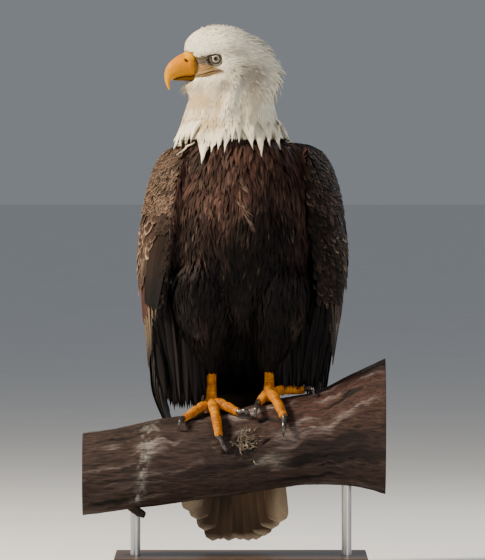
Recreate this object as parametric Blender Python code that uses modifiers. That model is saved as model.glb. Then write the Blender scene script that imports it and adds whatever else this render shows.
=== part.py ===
"""Bald eagle, life size, perched on a cut length of branch that a plain display stand holds up.

Metres, +Z up. The bird faces -Y, its own left is +X, and its head is turned to its right.
The origin is on the floor, under the middle of the perch. Each sub-part is one closed solid.
"""

import math

import bmesh
import bpy
import numpy as np
from mathutils import Matrix, Vector

# Driving dimensions
GAP = 0.0004  # clearance between neighbouring solids
HEAD_YAW = math.radians(-80.0)  # turn of the head about +Z
BODY_YAW = math.radians(4.0)  # the trunk shows a little more of its right wing
BODY_AXIS = (0.0, 0.03)  # x, y of the upright line that the trunk turns about
WINGS_X = 0.002  # the folded wings sit a little to the left of the trunk
HEAD_AXIS = (-0.013, 0.002)  # x, y of the upright line that the head turns about

NECK_BASE_Z = 0.6045  # the white cape ends here
JAW_Z = 0.668  # parting of head and neck
WING_PART_Z = 0.330  # the secondaries end here and the primaries stand out below
TAIL_TOP_Z = 0.236  # parting of trunk and tail

TRUNK_SIDES = 26
NECK_SIDES = 24
WING_ARC_POINTS = 12  # points along the outer face of a wing's section

EYE_RADIUS = 0.0108
EYE_FORWARD = 0.0263  # in front of the head's axis
EYE_ASIDE = 0.0228  # beside it
EYE_Z = 0.7234
BROW_FORWARD, BROW_ASIDE, BROW_Z = 0.0300, 0.0245, 0.7343
BROW_RADII = (0.0105, 0.0245, 0.0062)  # across, along and up

PERCH_SIDES = 20
STAND_BASE_SIZE = (0.36, 0.28, 0.018)
STAND_BASE_Y = 0.03
STAND_ROD_RADIUS = 0.007
STAND_ROD_X = 0.150
STAND_ROD_SOCKET = 0.022  # how far a rod runs into the wood

# (z, half width, front y, back y), from the vent up to the shoulders
TRUNK_STATIONS = (
    (0.236, 0.062, 0.084, 0.124),
    (0.262, 0.079, 0.052, 0.130),
    (0.290, 0.088, 0.022, 0.132),
    (0.330, 0.096, -0.014, 0.130),
    (0.370, 0.107, -0.050, 0.126),
    (0.410, 0.115, -0.078, 0.122),
    (0.450, 0.120, -0.095, 0.120),
    (0.500, 0.120, -0.102, 0.118),
    (0.550, 0.110, -0.094, 0.110),
    (0.585, 0.098, -0.080, 0.096),
    (0.604, 0.084, -0.069, 0.080),
)

# (z, half width, front y, back y) of the outline with the wings folded on it
ENVELOPE_STATIONS = (
    (0.170, 0.086, 0.078, 0.144),
    (0.215, 0.110, 0.066, 0.147),
    (0.250, 0.125, 0.042, 0.148),
    (0.280, 0.131, 0.012, 0.147),
    (0.320, 0.1375, -0.030, 0.146),
    (0.365, 0.1450, -0.066, 0.144),
    (0.410, 0.1490, -0.086, 0.141),
    (0.445, 0.1500, -0.095, 0.138),
    (0.480, 0.1470, -0.099, 0.134),
    (0.520, 0.1410, -0.098, 0.127),
    (0.552, 0.1330, -0.093, 0.118),
    (0.580, 0.1210, -0.083, 0.106),
    (0.594, 0.1090, -0.075, 0.096),
    (0.603, 0.0930, -0.066, 0.086),
)

# (z, angle of the leading edge, angle of the trailing edge, thickness); 0 degrees is straight ahead
WING_STATIONS = (
    (0.328, 62.0, 174.0, 0.020),
    (0.365, 56.0, 176.0, 0.027),
    (0.410, 50.0, 176.0, 0.036),
    (0.450, 47.0, 175.0, 0.040),
    (0.500, 45.0, 169.0, 0.040),
    (0.550, 46.0, 158.0, 0.038),
    (0.580, 50.0, 146.0, 0.034),
    (0.594, 57.0, 136.0, 0.030),
    (0.602, 72.0, 122.0, 0.024),
)
PRIMARY_STATIONS = (
    (0.172, 106.0, 130.0, 0.005),
    (0.190, 94.0, 140.0, 0.008),
    (0.215, 85.0, 150.0, 0.011),
    (0.250, 76.0, 159.0, 0.014),
    (0.290, 69.0, 167.0, 0.017),
    (0.3275, 64.0, 173.0, 0.018),
)

# (z, half width, middle y, half thickness)
TAIL_STATIONS = (
    (0.0330, 0.020, 0.1245, 0.0016),
    (0.0370, 0.041, 0.1240, 0.0022),
    (0.0470, 0.060, 0.1230, 0.0028),
    (0.0650, 0.074, 0.1215, 0.0034),
    (0.0900, 0.081, 0.1190, 0.0040),
    (0.1300, 0.078, 0.1150, 0.0052),
    (0.1800, 0.068, 0.1100, 0.0075),
    (0.2355, 0.056, 0.1030, 0.0130),
)
TAIL_CENTRE_X = -0.003

# (z, reach forward, reach back, half width) from the head's axis, in the turned head's own frame
NECK_STATIONS = (
    (0.6045, 0.0860, 0.0830, 0.0700),
    (0.6227, 0.0760, 0.0715, 0.0640),
    (0.6400, 0.0700, 0.0650, 0.0590),
    (0.6580, 0.0635, 0.0617, 0.0550),
    (0.6700, 0.0600, 0.0612, 0.0520),
)
# The last column is how much narrower the ring is at the face than at the cheeks.
HEAD_STATIONS = (
    (0.6684, 0.0605, 0.0612, 0.0522, 0.00),
    (0.6780, 0.0650, 0.0645, 0.0500, 0.25),
    (0.6870, 0.0685, 0.0675, 0.0476, 0.45),
    (0.6950, 0.0650, 0.0690, 0.0455, 0.58),
    (0.7079, 0.0580, 0.0690, 0.0430, 0.50),
    (0.7221, 0.0580, 0.0625, 0.0400, 0.42),
    (0.7321, 0.0680, 0.0560, 0.0392, 0.34),
    (0.7406, 0.0695, 0.0485, 0.0382, 0.30),
    (0.7505, 0.0655, 0.0365, 0.0355, 0.28),
    (0.7590, 0.0580, 0.0240, 0.0305, 0.25),
    (0.7657, 0.0475, 0.0110, 0.0230, 0.20),
    (0.7697, 0.0355, -0.0040, 0.0135, 0.10),
    (0.7709, 0.0280, -0.0110, 0.0070, 0.00),
)

# (culmen forward, culmen z, tomium forward, tomium z, half width)
CERE_STATIONS = (
    (0.0540, 0.7342, 0.0520, 0.6975, 0.0146),
    (0.0620, 0.7342, 0.0595, 0.6982, 0.0140),
    (0.0690, 0.7318, 0.0665, 0.6980, 0.0132),
)
BILL_STATIONS = (
    (0.0694, 0.7317, 0.0669, 0.6980, 0.0131),
    (0.0776, 0.7278, 0.0757, 0.6965, 0.0120),
    (0.0852, 0.7224, 0.0825, 0.6950, 0.0105),
    (0.0914, 0.7163, 0.0868, 0.6938, 0.0088),
    (0.0951, 0.7095, 0.0888, 0.6918, 0.0073),
    (0.0969, 0.7027, 0.0893, 0.6898, 0.0058),
    (0.0966, 0.6959, 0.0893, 0.6876, 0.0044),
    (0.0951, 0.6890, 0.0890, 0.6848, 0.0030),
    (0.0926, 0.6830, 0.0887, 0.6814, 0.0018),
    (0.0906, 0.6800, 0.0892, 0.6794, 0.0009),
)
LOWER_BILL_STATIONS = (
    (0.0440, 0.6990, 0.0440, 0.6935, 0.0132),
    (0.0560, 0.6982, 0.0560, 0.6920, 0.0122),
    (0.0670, 0.6974, 0.0670, 0.6915, 0.0108),
    (0.0760, 0.6960, 0.0755, 0.6915, 0.0088),
    (0.0820, 0.6944, 0.0810, 0.6920, 0.0060),
    (0.0842, 0.6936, 0.0836, 0.6928, 0.0030),
)

# (x, centre z, half height, half depth): the branch swells towards a fork at its left end
PERCH_STATIONS = (
    (-0.2250, 0.1337, 0.0582, 0.0570),
    (-0.1718, 0.1414, 0.0590, 0.0580),
    (-0.1150, 0.1512, 0.0612, 0.0595),
    (-0.0582, 0.1587, 0.0607, 0.0600),
    (-0.0014, 0.1672, 0.0607, 0.0605),
    (0.0554, 0.1783, 0.0632, 0.0620),
    (0.1122, 0.1861, 0.0667, 0.0650),
    (0.1548, 0.1953, 0.0790, 0.0700),
    (0.2050, 0.2010, 0.0960, 0.0760),
)

# Thigh: (z, outward x, y, half width, half depth)
THIGH_STATIONS = (
    (0.2760, 0.0420, 0.0010, 0.0130, 0.0130),
    (0.2860, 0.0425, -0.0010, 0.0190, 0.0190),
    (0.3100, 0.0450, -0.0070, 0.0290, 0.0300),
    (0.3450, 0.0500, -0.0170, 0.0390, 0.0420),
    (0.3850, 0.0540, -0.0280, 0.0450, 0.0490),
    (0.4200, 0.0540, -0.0360, 0.0400, 0.0440),
    (0.4450, 0.0520, -0.0420, 0.0240, 0.0260),
)

# Foot pads on the branch: (x, wrap angle in front of the branch's top, height above the wood)
PAD = {
    "right": (-0.0420, 4.0, 0.0128),
    "left": (0.0400, 12.0, 0.0105),
}
ANKLE = {
    "right": (-0.0420, -0.003, 0.292),
    "left": (0.0405, -0.003, 0.296),
}
TARSUS_RADIUS = 0.0073
PAD_RADIUS = 0.0112

# Digits: (x and wrap angle at the toe's end, x and wrap angle at the claw's tip, toe and claw radius)
DIGITS = {
    "right": {
        "outer": (-0.0810, 31.0, -0.0885, 45.0, 0.0064, 0.0038),
        "middle": (-0.0310, 67.0, -0.0200, 88.0, 0.0070, 0.0042),
        "inner": (-0.0030, 35.0, 0.0120, 42.0, 0.0068, 0.0048),
        "hind": (-0.0470, -46.0, -0.0500, -78.0, 0.0070, 0.0052),
    },
    "left": {
        "outer": (0.0900, 5.0, 0.1040, 27.0, 0.0064, 0.0038),
        "middle": (0.0610, 58.0, 0.0600, 80.0, 0.0070, 0.0042),
        "inner": (0.0250, 22.0, 0.0195, 47.0, 0.0066, 0.0047),
        "hind": (0.0440, -46.0, 0.0460, -78.0, 0.0070, 0.0052),
    },
}
CLAW_ROOT = 0.0045  # how far back into its toe a claw starts
TOE_POINTS = 8
CLAW_POINTS = 6
WOOD_CLEARANCE = 0.0006

MATERIALS = {
    "white_feather": ((0.80, 0.77, 0.70), 0.75, 0.0),
    "brown_feather": ((0.055, 0.036, 0.026), 0.70, 0.0),
    "flight_feather": ((0.040, 0.028, 0.022), 0.55, 0.0),
    "tail_feather": ((0.62, 0.56, 0.46), 0.70, 0.0),
    "bill": ((0.80, 0.45, 0.07), 0.35, 0.0),
    "eye": ((0.66, 0.63, 0.50), 0.10, 0.0),
    "foot_skin": ((0.74, 0.40, 0.04), 0.50, 0.0),
    "claw": ((0.020, 0.018, 0.018), 0.30, 0.0),
    "branch": ((0.16, 0.11, 0.085), 0.85, 0.0),
    "stand_base": ((0.045, 0.042, 0.040), 0.45, 0.0),
    "stand_rod": ((0.55, 0.55, 0.56), 0.35, 1.0),
}


def clear_scene():
    for obj in list(bpy.data.objects):
        bpy.data.objects.remove(obj)


def new_collection(name, hidden=False):
    made = bpy.data.collections.new(name)
    made.hide_render = hidden
    bpy.context.scene.collection.children.link(made)
    return made


def make_materials():
    made = {}
    for name, (colour, roughness, metallic) in MATERIALS.items():
        material = bpy.data.materials.new(name)
        material.use_nodes = True
        shader = material.node_tree.nodes["Principled BSDF"]
        shader.inputs["Base Color"].default_value = (*colour, 1.0)
        shader.inputs["Roughness"].default_value = roughness
        shader.inputs["Metallic"].default_value = metallic
        made[name] = material
    return made


def smooth_row(stations, at):
    """The stations' other columns at this value of the first, on a smooth curve through them."""
    table = np.array(stations, float)
    keys, values = table[:, 0], table[:, 1:]
    slopes = np.gradient(values, keys, axis=0)
    at = min(max(at, keys[0]), keys[-1])
    i = min(int(np.searchsorted(keys, at, side="right")) - 1, len(keys) - 2)
    span = keys[i + 1] - keys[i]
    t = (at - keys[i]) / span
    return (
        values[i] * (2 * t**3 - 3 * t**2 + 1)
        + slopes[i] * span * (t**3 - 2 * t**2 + t)
        + values[i + 1] * (3 * t**2 - 2 * t**3)
        + slopes[i + 1] * span * (t**3 - t**2)
    )


def levels(stations, count):
    """Values of the first column, evenly spread over the stations, so that dense stretches stay dense."""
    keys = [row[0] for row in stations]
    return np.interp(np.linspace(0, len(keys) - 1, count), range(len(keys)), keys)


def mesh_object(name, material, collection, vertices, faces):
    mesh = bpy.data.meshes.new(name)
    mesh.from_pydata([tuple(v) for v in vertices], [], faces)
    shaped = bmesh.new()
    shaped.from_mesh(mesh)
    bmesh.ops.recalc_face_normals(shaped, faces=shaped.faces)
    shaped.to_mesh(mesh)
    shaped.free()
    mesh.shade_smooth()
    mesh.set_sharp_from_angle(angle=math.radians(40))
    mesh.materials.append(material)
    obj = bpy.data.objects.new(name, mesh)
    collection.objects.link(obj)
    return obj


def loft(name, material, collection, rings):
    """A closed skin over rings of equal point counts, with a flat cap on each end."""
    count = len(rings[0])
    faces = [
        (
            i * count + j,
            i * count + (j + 1) % count,
            (i + 1) * count + (j + 1) % count,
            (i + 1) * count + j,
        )
        for i in range(len(rings) - 1)
        for j in range(count)
    ]
    last = (len(rings) - 1) * count
    faces.append(tuple(range(count)))
    faces.append(tuple(range(last, last + count)))
    return mesh_object(name, material, collection, np.vstack(rings), faces)


def turned(points, yaw, axis):
    """Points turned about the upright line through axis."""
    offset = np.asarray(points, float)
    x, y = offset[:, 0] - axis[0], offset[:, 1] - axis[1]
    c, s = math.cos(yaw), math.sin(yaw)
    return np.column_stack(
        [axis[0] + c * x - s * y, axis[1] + s * x + c * y, offset[:, 2]]
    )


def oval_point(angle, half_width, front, back, centre_x=0.0):
    """A point of a level oval; angle 0 is straight ahead, and a quarter turn is the bird's left."""
    middle = (front + back) / 2
    return (
        centre_x + half_width * math.sin(angle),
        middle - (back - middle) * math.cos(angle),
    )


def oval_ring(z, half_width, front, back, sides, centre_x=0.0):
    return np.array(
        [
            (*oval_point(a, half_width, front, back, centre_x), z)
            for a in np.linspace(0, 2 * math.pi, sides, endpoint=False)
        ]
    )


def head_ring(z, forward, back, half_width, sides, taper):
    """A level ring of the head or neck: longer in front or behind, and narrower at the face."""
    points = []
    for angle in np.linspace(0, 2 * math.pi, sides, endpoint=False):
        ahead = math.cos(angle)
        reach = (forward + back) / 2 * ahead + (forward - back) / 2
        width = half_width * (1 - taper * max(0.0, ahead) ** 1.5)
        points.append(
            (HEAD_AXIS[0] + width * math.sin(angle), HEAD_AXIS[1] - reach, z)
        )
    return turned(points, HEAD_YAW, HEAD_AXIS)


def head_frame(forward, aside, z):
    """A point given forward of the head's axis and to the bird's left of it."""
    point = [(HEAD_AXIS[0] + aside, HEAD_AXIS[1] - forward, z)]
    return Vector(turned(point, HEAD_YAW, HEAD_AXIS)[0])


def inflated(obj, cutters, by=GAP):
    """A hidden copy of obj, grown by the gap, that cuts its neighbours."""
    bpy.context.view_layer.update()  # so that matrix_world is up to date
    cutter = bpy.data.objects.new(obj.name + "_cutter", obj.data)
    cutter.matrix_world = obj.matrix_world
    for modifier in obj.modifiers:
        copy = cutter.modifiers.new(modifier.name, modifier.type)
        copy.operation = modifier.operation
        copy.object = modifier.object
    swell = cutter.modifiers.new("swell", "DISPLACE")
    swell.strength = by
    swell.mid_level = 0.0
    cutter.hide_render = True
    cutter.display_type = "WIRE"
    cutters.objects.link(cutter)
    return cutter


def cut(obj, cutter, operation="DIFFERENCE"):
    modifier = obj.modifiers.new(operation.lower(), "BOOLEAN")
    modifier.operation = operation
    modifier.object = cutter


def applied(obj):
    """Replaces obj's mesh by its evaluated one, so that later cutters are plain meshes."""
    graph = bpy.context.evaluated_depsgraph_get()
    mesh = bpy.data.meshes.new_from_object(obj.evaluated_get(graph))
    obj.modifiers.clear()
    obj.data = mesh
    return obj


def tube(name, material, collection, points, radii, resolution=1):
    """A round tapered tube along points, as a welded mesh."""
    curve = bpy.data.curves.new(name + "_line", "CURVE")
    curve.dimensions = "3D"
    curve.bevel_depth = 1.0
    curve.bevel_resolution = resolution
    curve.use_fill_caps = True
    spline = curve.splines.new("POLY")
    spline.points.add(len(points) - 1)
    for point, place, radius in zip(spline.points, points, radii):
        point.co = (*place, 1.0)
        point.radius = radius
    line = bpy.data.objects.new(name + "_line", curve)
    collection.objects.link(line)
    graph = bpy.context.evaluated_depsgraph_get()
    mesh = bpy.data.meshes.new_from_object(line.evaluated_get(graph))
    mesh.name = name
    bpy.data.objects.remove(line)
    welded = bmesh.new()
    welded.from_mesh(mesh)
    bmesh.ops.remove_doubles(welded, verts=welded.verts, dist=1e-6)
    bmesh.ops.recalc_face_normals(welded, faces=welded.faces)
    welded.to_mesh(mesh)
    welded.free()
    mesh.materials.clear()
    mesh.materials.append(material)
    mesh.shade_smooth()
    obj = bpy.data.objects.new(name, mesh)
    collection.objects.link(obj)
    return obj


def make_trunk(parts, material):
    rings = [
        turned(
            oval_ring(z, *smooth_row(TRUNK_STATIONS, z), TRUNK_SIDES),
            BODY_YAW,
            BODY_AXIS,
        )
        for z in levels(TRUNK_STATIONS, 14)
    ]
    return loft("trunk", material, parts, rings)


def wing_section(z, side, lead, trail, thickness):
    """A level crescent on the outline: its outer face, then its inner face back again."""
    half_width, front, back = smooth_row(ENVELOPE_STATIONS, z)
    middle = (front + back) / 2
    outer, inner = [], []
    for step in range(WING_ARC_POINTS):
        share = step / (WING_ARC_POINTS - 1)
        angle = side * math.radians(lead + (trail - lead) * share)
        depth = thickness * (0.25 + 0.75 * math.sin(math.pi * share) ** 0.6)
        x, y = oval_point(angle, half_width, front, back, WINGS_X)
        inward = Vector((WINGS_X - x, middle - y)).normalized()
        outer.append((x, y, z))
        inner.append((x + inward.x * depth, y + inward.y * depth, z))
    return turned(outer + inner[::-1], BODY_YAW, BODY_AXIS)


def make_wing(name, parts, material, stations, side, count):
    rings = [
        wing_section(z, side, *smooth_row(stations, z)) for z in levels(stations, count)
    ]
    return loft(name, material, parts, rings)


def make_tail(parts, material):
    rings = []
    for z in levels(TAIL_STATIONS, 10):
        half_width, middle, thick = smooth_row(TAIL_STATIONS, z)
        rings.append(
            turned(
                oval_ring(z, half_width, middle - thick, middle + thick, 18, TAIL_CENTRE_X),
                BODY_YAW,
                BODY_AXIS,
            )
        )
    return loft("tail", material, parts, rings)


def make_neck(parts, material):
    top = JAW_Z - GAP / 2
    rings = []
    for z in np.linspace(NECK_BASE_Z, top, 6):
        forward, back, half_width = smooth_row(NECK_STATIONS, z)
        rings.append(head_ring(z, forward, back, half_width, NECK_SIDES, 0.0))
    return loft("neck", material, parts, rings)


def make_head(parts, material):
    rings = []
    for z in levels(HEAD_STATIONS, 16):
        forward, back, half_width, taper = smooth_row(HEAD_STATIONS, z)
        rings.append(head_ring(z, forward, back, half_width, NECK_SIDES, taper))
    return loft("head", material, parts, rings)


def bill_ring(culmen_s, culmen_z, tomium_s, tomium_z, half_width, sides=12):
    """An oval across the bill, between its upper ridge and its cutting edge."""
    middle_s, middle_z = (culmen_s + tomium_s) / 2, (culmen_z + tomium_z) / 2
    up_s, up_z = (culmen_s - tomium_s) / 2, (culmen_z - tomium_z) / 2
    return np.array(
        [
            head_frame(
                middle_s + up_s * math.cos(a),
                half_width * math.sin(a),
                middle_z + up_z * math.cos(a),
            )
            for a in np.linspace(0, 2 * math.pi, sides, endpoint=False)
        ]
    )


def make_bill(name, parts, material, stations):
    return loft(name, material, parts, [bill_ring(*row) for row in stations])


def make_brow(side, cutters):
    """The ridge that shades the eye, as a flattened ball that joins the head."""
    bpy.ops.mesh.primitive_uv_sphere_add(segments=12, ring_count=8, radius=1.0)
    brow = bpy.context.object
    brow.name = f"brow_{side}"
    sign = 1 if side == "left" else -1
    place = head_frame(BROW_FORWARD, sign * BROW_ASIDE, BROW_Z)
    lean = Matrix.Rotation(-sign * math.radians(14), 4, "Z") @ Matrix.Rotation(
        math.radians(5), 4, "X"
    )
    brow.matrix_world = (
        Matrix.Translation(place)
        @ Matrix.Rotation(HEAD_YAW, 4, "Z")
        @ lean
        @ Matrix.Diagonal((*BROW_RADII, 1.0))
    )
    brow.hide_render = True
    brow.display_type = "WIRE"
    for owner in list(brow.users_collection):
        owner.objects.unlink(brow)
    cutters.objects.link(brow)
    return brow


def make_eye(side, parts, material):
    bpy.ops.mesh.primitive_uv_sphere_add(
        segments=14, ring_count=10, radius=EYE_RADIUS
    )
    eye = bpy.context.object
    eye.name = f"eye_{side}"
    sign = 1 if side == "left" else -1
    eye.location = head_frame(EYE_FORWARD, sign * EYE_ASIDE, EYE_Z)
    eye.data.materials.append(material)
    eye.data.shade_smooth()
    for owner in list(eye.users_collection):
        owner.objects.unlink(eye)
    parts.objects.link(eye)
    return eye


def make_thigh(side, parts, material):
    sign = 1 if side == "left" else -1
    rings = []
    for z in levels(THIGH_STATIONS, 11):
        x, y, half_width, half_depth = smooth_row(THIGH_STATIONS, z)
        ring = oval_ring(z, half_width, y - half_depth, y + half_depth, 18, sign * x)
        rings.append(ring)
    return loft(f"thigh_{side}", material, parts, rings)


def perch_ring(x):
    """The branch's own section: an oval with shallow flutes that drift round it along its length."""
    centre_z, half_height, half_depth = smooth_row(PERCH_STATIONS, x)
    points = []
    for a in np.linspace(0, 2 * math.pi, PERCH_SIDES, endpoint=False):
        flute = 1 + 0.010 * math.sin(5 * a + 9 * x) + 0.007 * math.sin(3 * a - 14 * x)
        points.append(
            (
                x,
                -half_depth * flute * math.sin(a),
                centre_z + half_height * flute * math.cos(a),
            )
        )
    return np.array(points)


def make_perch(parts, material):
    rings = [perch_ring(x) for x in levels(PERCH_STATIONS, 13)]
    return loft("perch", material, parts, rings)


def on_branch(x, wrap_degrees, lift):
    """A point above the wood; wrap 0 is the top of the branch, and 90 its front."""
    centre_z, half_height, half_depth = smooth_row(PERCH_STATIONS, x)
    a = math.radians(wrap_degrees)
    swell = 1.018  # stays outside the flutes
    return Vector(
        (
            x,
            -(half_depth * swell + lift) * math.sin(a),
            centre_z + (half_height * swell + lift) * math.cos(a),
        )
    )


def make_foot(side, parts, material):
    x, wrap, height = PAD[side]
    sole = on_branch(x, wrap, WOOD_CLEARANCE)
    pad = on_branch(x, wrap, height)
    ankle = Vector(ANKLE[side])
    points = [ankle.lerp(pad, share) for share in (0.0, 0.4, 0.72, 0.9, 1.0)]
    radii = [TARSUS_RADIUS * s for s in (1.0, 0.95, 1.0, 1.2)] + [PAD_RADIUS]
    for share, radius in ((0.4, 0.97), (0.75, 0.8), (1.0, 0.5)):
        points.append(pad.lerp(sole, share))
        radii.append(PAD_RADIUS * radius)
    return tube(f"foot_{side}", material, parts, points, radii, resolution=2)


def make_toe(side, digit, parts, material):
    """A toe that arches off the pad and then lies on the wood, with a pad under each joint."""
    x0, wrap0, _ = PAD[side]
    x1, wrap1, _, _, radius, _ = DIGITS[side][digit]
    points, radii = [], []
    for t in np.linspace(0.0, 1.0, TOE_POINTS):
        thick = radius * (1.12 - 0.26 * t + 0.07 * math.cos(6 * math.pi * t))
        arch = 0.0045 * math.sin(math.pi * t) * (1 - t) + 0.004 * (1 - t) ** 2
        points.append(
            on_branch(
                x0 + (x1 - x0) * t,
                wrap0 + (wrap1 - wrap0) * t,
                thick + arch + WOOD_CLEARANCE,
            )
        )
        radii.append(thick)
    return tube(f"toe_{side}_{digit}", material, parts, points, radii)


def make_claw(side, digit, parts, material):
    """A hooked claw: it springs from inside the toe's end and comes down to the wood."""
    x1, wrap1, x2, wrap2, toe_radius, radius = DIGITS[side][digit]
    x0, wrap0, _ = PAD[side]
    toe_length = (on_branch(x1, wrap1, 0.0) - on_branch(x0, wrap0, 0.0)).length
    back = CLAW_ROOT / toe_length
    points = [
        on_branch(
            x1 + (x0 - x1) * back,
            wrap1 + (wrap0 - wrap1) * back,
            toe_radius * 0.9 + WOOD_CLEARANCE,
        )
    ]
    radii = [radius * 0.95]
    for t in np.linspace(0.0, 1.0, CLAW_POINTS):
        along = math.sin(0.5 * math.pi * t)
        lift = toe_radius * (1 - t**2) + 0.0055 * math.sin(math.pi * t) ** 2
        points.append(
            on_branch(
                x1 + (x2 - x1) * along,
                wrap1 + (wrap2 - wrap1) * along,
                lift + WOOD_CLEARANCE,
            )
        )
        radii.append(radius * (1 - 0.86 * t**1.3))
    return tube(f"claw_{side}_{digit}", material, parts, points, radii)


def make_stand_base(parts, material):
    bpy.ops.mesh.primitive_cube_add(size=1.0)
    base = bpy.context.object
    base.name = "stand_base"
    width, depth, height = STAND_BASE_SIZE
    base.data.transform(Matrix.Diagonal((width, depth, height, 1.0)))
    base.location = (0.0, STAND_BASE_Y, height / 2)
    base.data.materials.append(material)
    corners = base.modifiers.new("corners", "BEVEL")
    corners.width = 0.0022
    corners.segments = 2
    for owner in list(base.users_collection):
        owner.objects.unlink(base)
    parts.objects.link(base)
    return base


def make_rod(side, parts, material):
    sign = 1 if side == "left" else -1
    x = sign * STAND_ROD_X
    centre_z, half_height, _ = smooth_row(PERCH_STATIONS, x)
    bottom = STAND_BASE_SIZE[2] + GAP
    top = centre_z - half_height + STAND_ROD_SOCKET
    bpy.ops.mesh.primitive_cylinder_add(
        vertices=20,
        radius=STAND_ROD_RADIUS,
        depth=top - bottom,
        location=(x, 0.0, (top + bottom) / 2),
    )
    rod = bpy.context.object
    rod.name = f"stand_rod_{side}"
    rod.data.materials.append(material)
    rod.data.shade_smooth()
    rod.data.set_sharp_from_angle(angle=math.radians(40))
    for owner in list(rod.users_collection):
        owner.objects.unlink(rod)
    parts.objects.link(rod)
    return rod


def build():
    clear_scene()
    parts = new_collection("bald_eagle")
    cutters = new_collection("cutters", hidden=True)
    look = make_materials()

    trunk = make_trunk(parts, look["brown_feather"])
    neck = make_neck(parts, look["white_feather"])
    head = make_head(parts, look["white_feather"])
    tail = make_tail(parts, look["tail_feather"])
    trunk_cutter = inflated(trunk, cutters)
    tail_cutter = inflated(tail, cutters)

    for side, sign in (("left", 1), ("right", -1)):
        wing = make_wing(
            f"wing_{side}", parts, look["brown_feather"], WING_STATIONS, sign, 11
        )
        cut(wing, trunk_cutter)
        primaries = make_wing(
            f"primaries_{side}",
            parts,
            look["flight_feather"],
            PRIMARY_STATIONS,
            sign,
            9,
        )
        cut(primaries, trunk_cutter)
        cut(primaries, tail_cutter)

    cere = make_bill("cere", parts, look["bill"], CERE_STATIONS)
    upper = make_bill("bill_upper", parts, look["bill"], BILL_STATIONS)
    lower = make_bill("bill_lower", parts, look["bill"], LOWER_BILL_STATIONS)
    for neighbour in (cere, upper):
        cut(lower, inflated(neighbour, cutters))
    for side in ("left", "right"):
        cut(head, make_brow(side, cutters), "UNION")
        eye = make_eye(side, parts, look["eye"])
        cut(head, inflated(eye, cutters))
    for neighbour in (cere, upper, lower):
        cut(head, inflated(neighbour, cutters))

    make_perch_and_stand(parts, cutters, look)
    for side in ("left", "right"):
        make_leg(side, parts, cutters, look, trunk_cutter)
    return trunk, neck, head


def make_perch_and_stand(parts, cutters, look):
    perch = make_perch(parts, look["branch"])
    make_stand_base(parts, look["stand_base"])
    for side in ("left", "right"):
        rod = make_rod(side, parts, look["stand_rod"])
        cut(perch, inflated(rod, cutters))


def make_leg(side, parts, cutters, look, trunk_cutter):
    thigh = make_thigh(side, parts, look["brown_feather"])
    cut(thigh, trunk_cutter)
    foot = make_foot(side, parts, look["foot_skin"])
    cut(foot, inflated(applied(thigh), cutters))
    foot_cutter = inflated(applied(foot), cutters)
    earlier = []
    for digit in DIGITS[side]:
        toe = make_toe(side, digit, parts, look["foot_skin"])
        cut(toe, foot_cutter)
        for neighbour in earlier:
            cut(toe, neighbour)
        toe_cutter = inflated(applied(toe), cutters)
        earlier.append(toe_cutter)
        claw = make_claw(side, digit, parts, look["claw"])
        cut(claw, toe_cutter)


build()
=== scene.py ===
import math

import bmesh
import bpy
import numpy as np
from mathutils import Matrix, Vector
from mathutils.bvhtree import BVHTree
from mathutils.kdtree import KDTree


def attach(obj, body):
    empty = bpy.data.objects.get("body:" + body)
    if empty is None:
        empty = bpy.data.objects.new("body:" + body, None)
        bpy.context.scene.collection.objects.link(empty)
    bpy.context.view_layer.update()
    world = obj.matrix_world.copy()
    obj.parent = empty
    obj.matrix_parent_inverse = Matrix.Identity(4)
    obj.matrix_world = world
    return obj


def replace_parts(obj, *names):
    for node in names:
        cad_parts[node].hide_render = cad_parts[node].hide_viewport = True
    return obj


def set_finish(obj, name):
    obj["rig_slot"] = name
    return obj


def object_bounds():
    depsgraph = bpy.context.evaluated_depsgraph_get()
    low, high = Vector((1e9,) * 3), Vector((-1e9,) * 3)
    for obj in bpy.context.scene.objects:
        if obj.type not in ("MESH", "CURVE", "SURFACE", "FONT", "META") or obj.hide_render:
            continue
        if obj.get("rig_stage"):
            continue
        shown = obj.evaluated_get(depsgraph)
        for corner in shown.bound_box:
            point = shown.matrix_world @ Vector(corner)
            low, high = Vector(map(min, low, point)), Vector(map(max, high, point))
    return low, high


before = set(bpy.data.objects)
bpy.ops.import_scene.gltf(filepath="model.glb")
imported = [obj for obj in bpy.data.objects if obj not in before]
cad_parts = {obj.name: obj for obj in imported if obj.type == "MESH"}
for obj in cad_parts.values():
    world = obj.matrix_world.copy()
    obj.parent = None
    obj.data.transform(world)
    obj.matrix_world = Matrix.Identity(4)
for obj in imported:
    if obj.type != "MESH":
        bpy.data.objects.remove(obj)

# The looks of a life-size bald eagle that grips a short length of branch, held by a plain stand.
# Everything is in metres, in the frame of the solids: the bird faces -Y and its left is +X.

CAD_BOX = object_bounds()
seeded = np.random.default_rng

# ---------------------------------------------------------------- measures shared with the solids

HEAD_YAW = math.radians(-80.0)  # turn of the head about +Z
BODY_YAW = math.radians(4.0)
BODY_AXIS = (0.0, 0.03)
WINGS_X = 0.002
HEAD_AXIS = (-0.013, 0.002)
EYE_RADIUS = 0.0108
EYE_FORWARD = 0.0263
EYE_ASIDE = 0.0228
EYE_Z = 0.7234

# z, half width, front y, back y of the whole bird without head and tail
ENVELOPE_STATIONS = (
    (0.170, 0.0860, 0.078, 0.144),
    (0.215, 0.1100, 0.066, 0.147),
    (0.250, 0.1250, 0.042, 0.148),
    (0.280, 0.1310, 0.012, 0.147),
    (0.320, 0.1375, -0.030, 0.146),
    (0.365, 0.1450, -0.066, 0.144),
    (0.410, 0.1490, -0.086, 0.141),
    (0.445, 0.1500, -0.095, 0.138),
    (0.480, 0.1470, -0.099, 0.134),
    (0.520, 0.1410, -0.098, 0.127),
    (0.552, 0.1330, -0.093, 0.118),
    (0.580, 0.1210, -0.083, 0.106),
    (0.594, 0.1090, -0.075, 0.096),
    (0.603, 0.0930, -0.066, 0.086),
)
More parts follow.
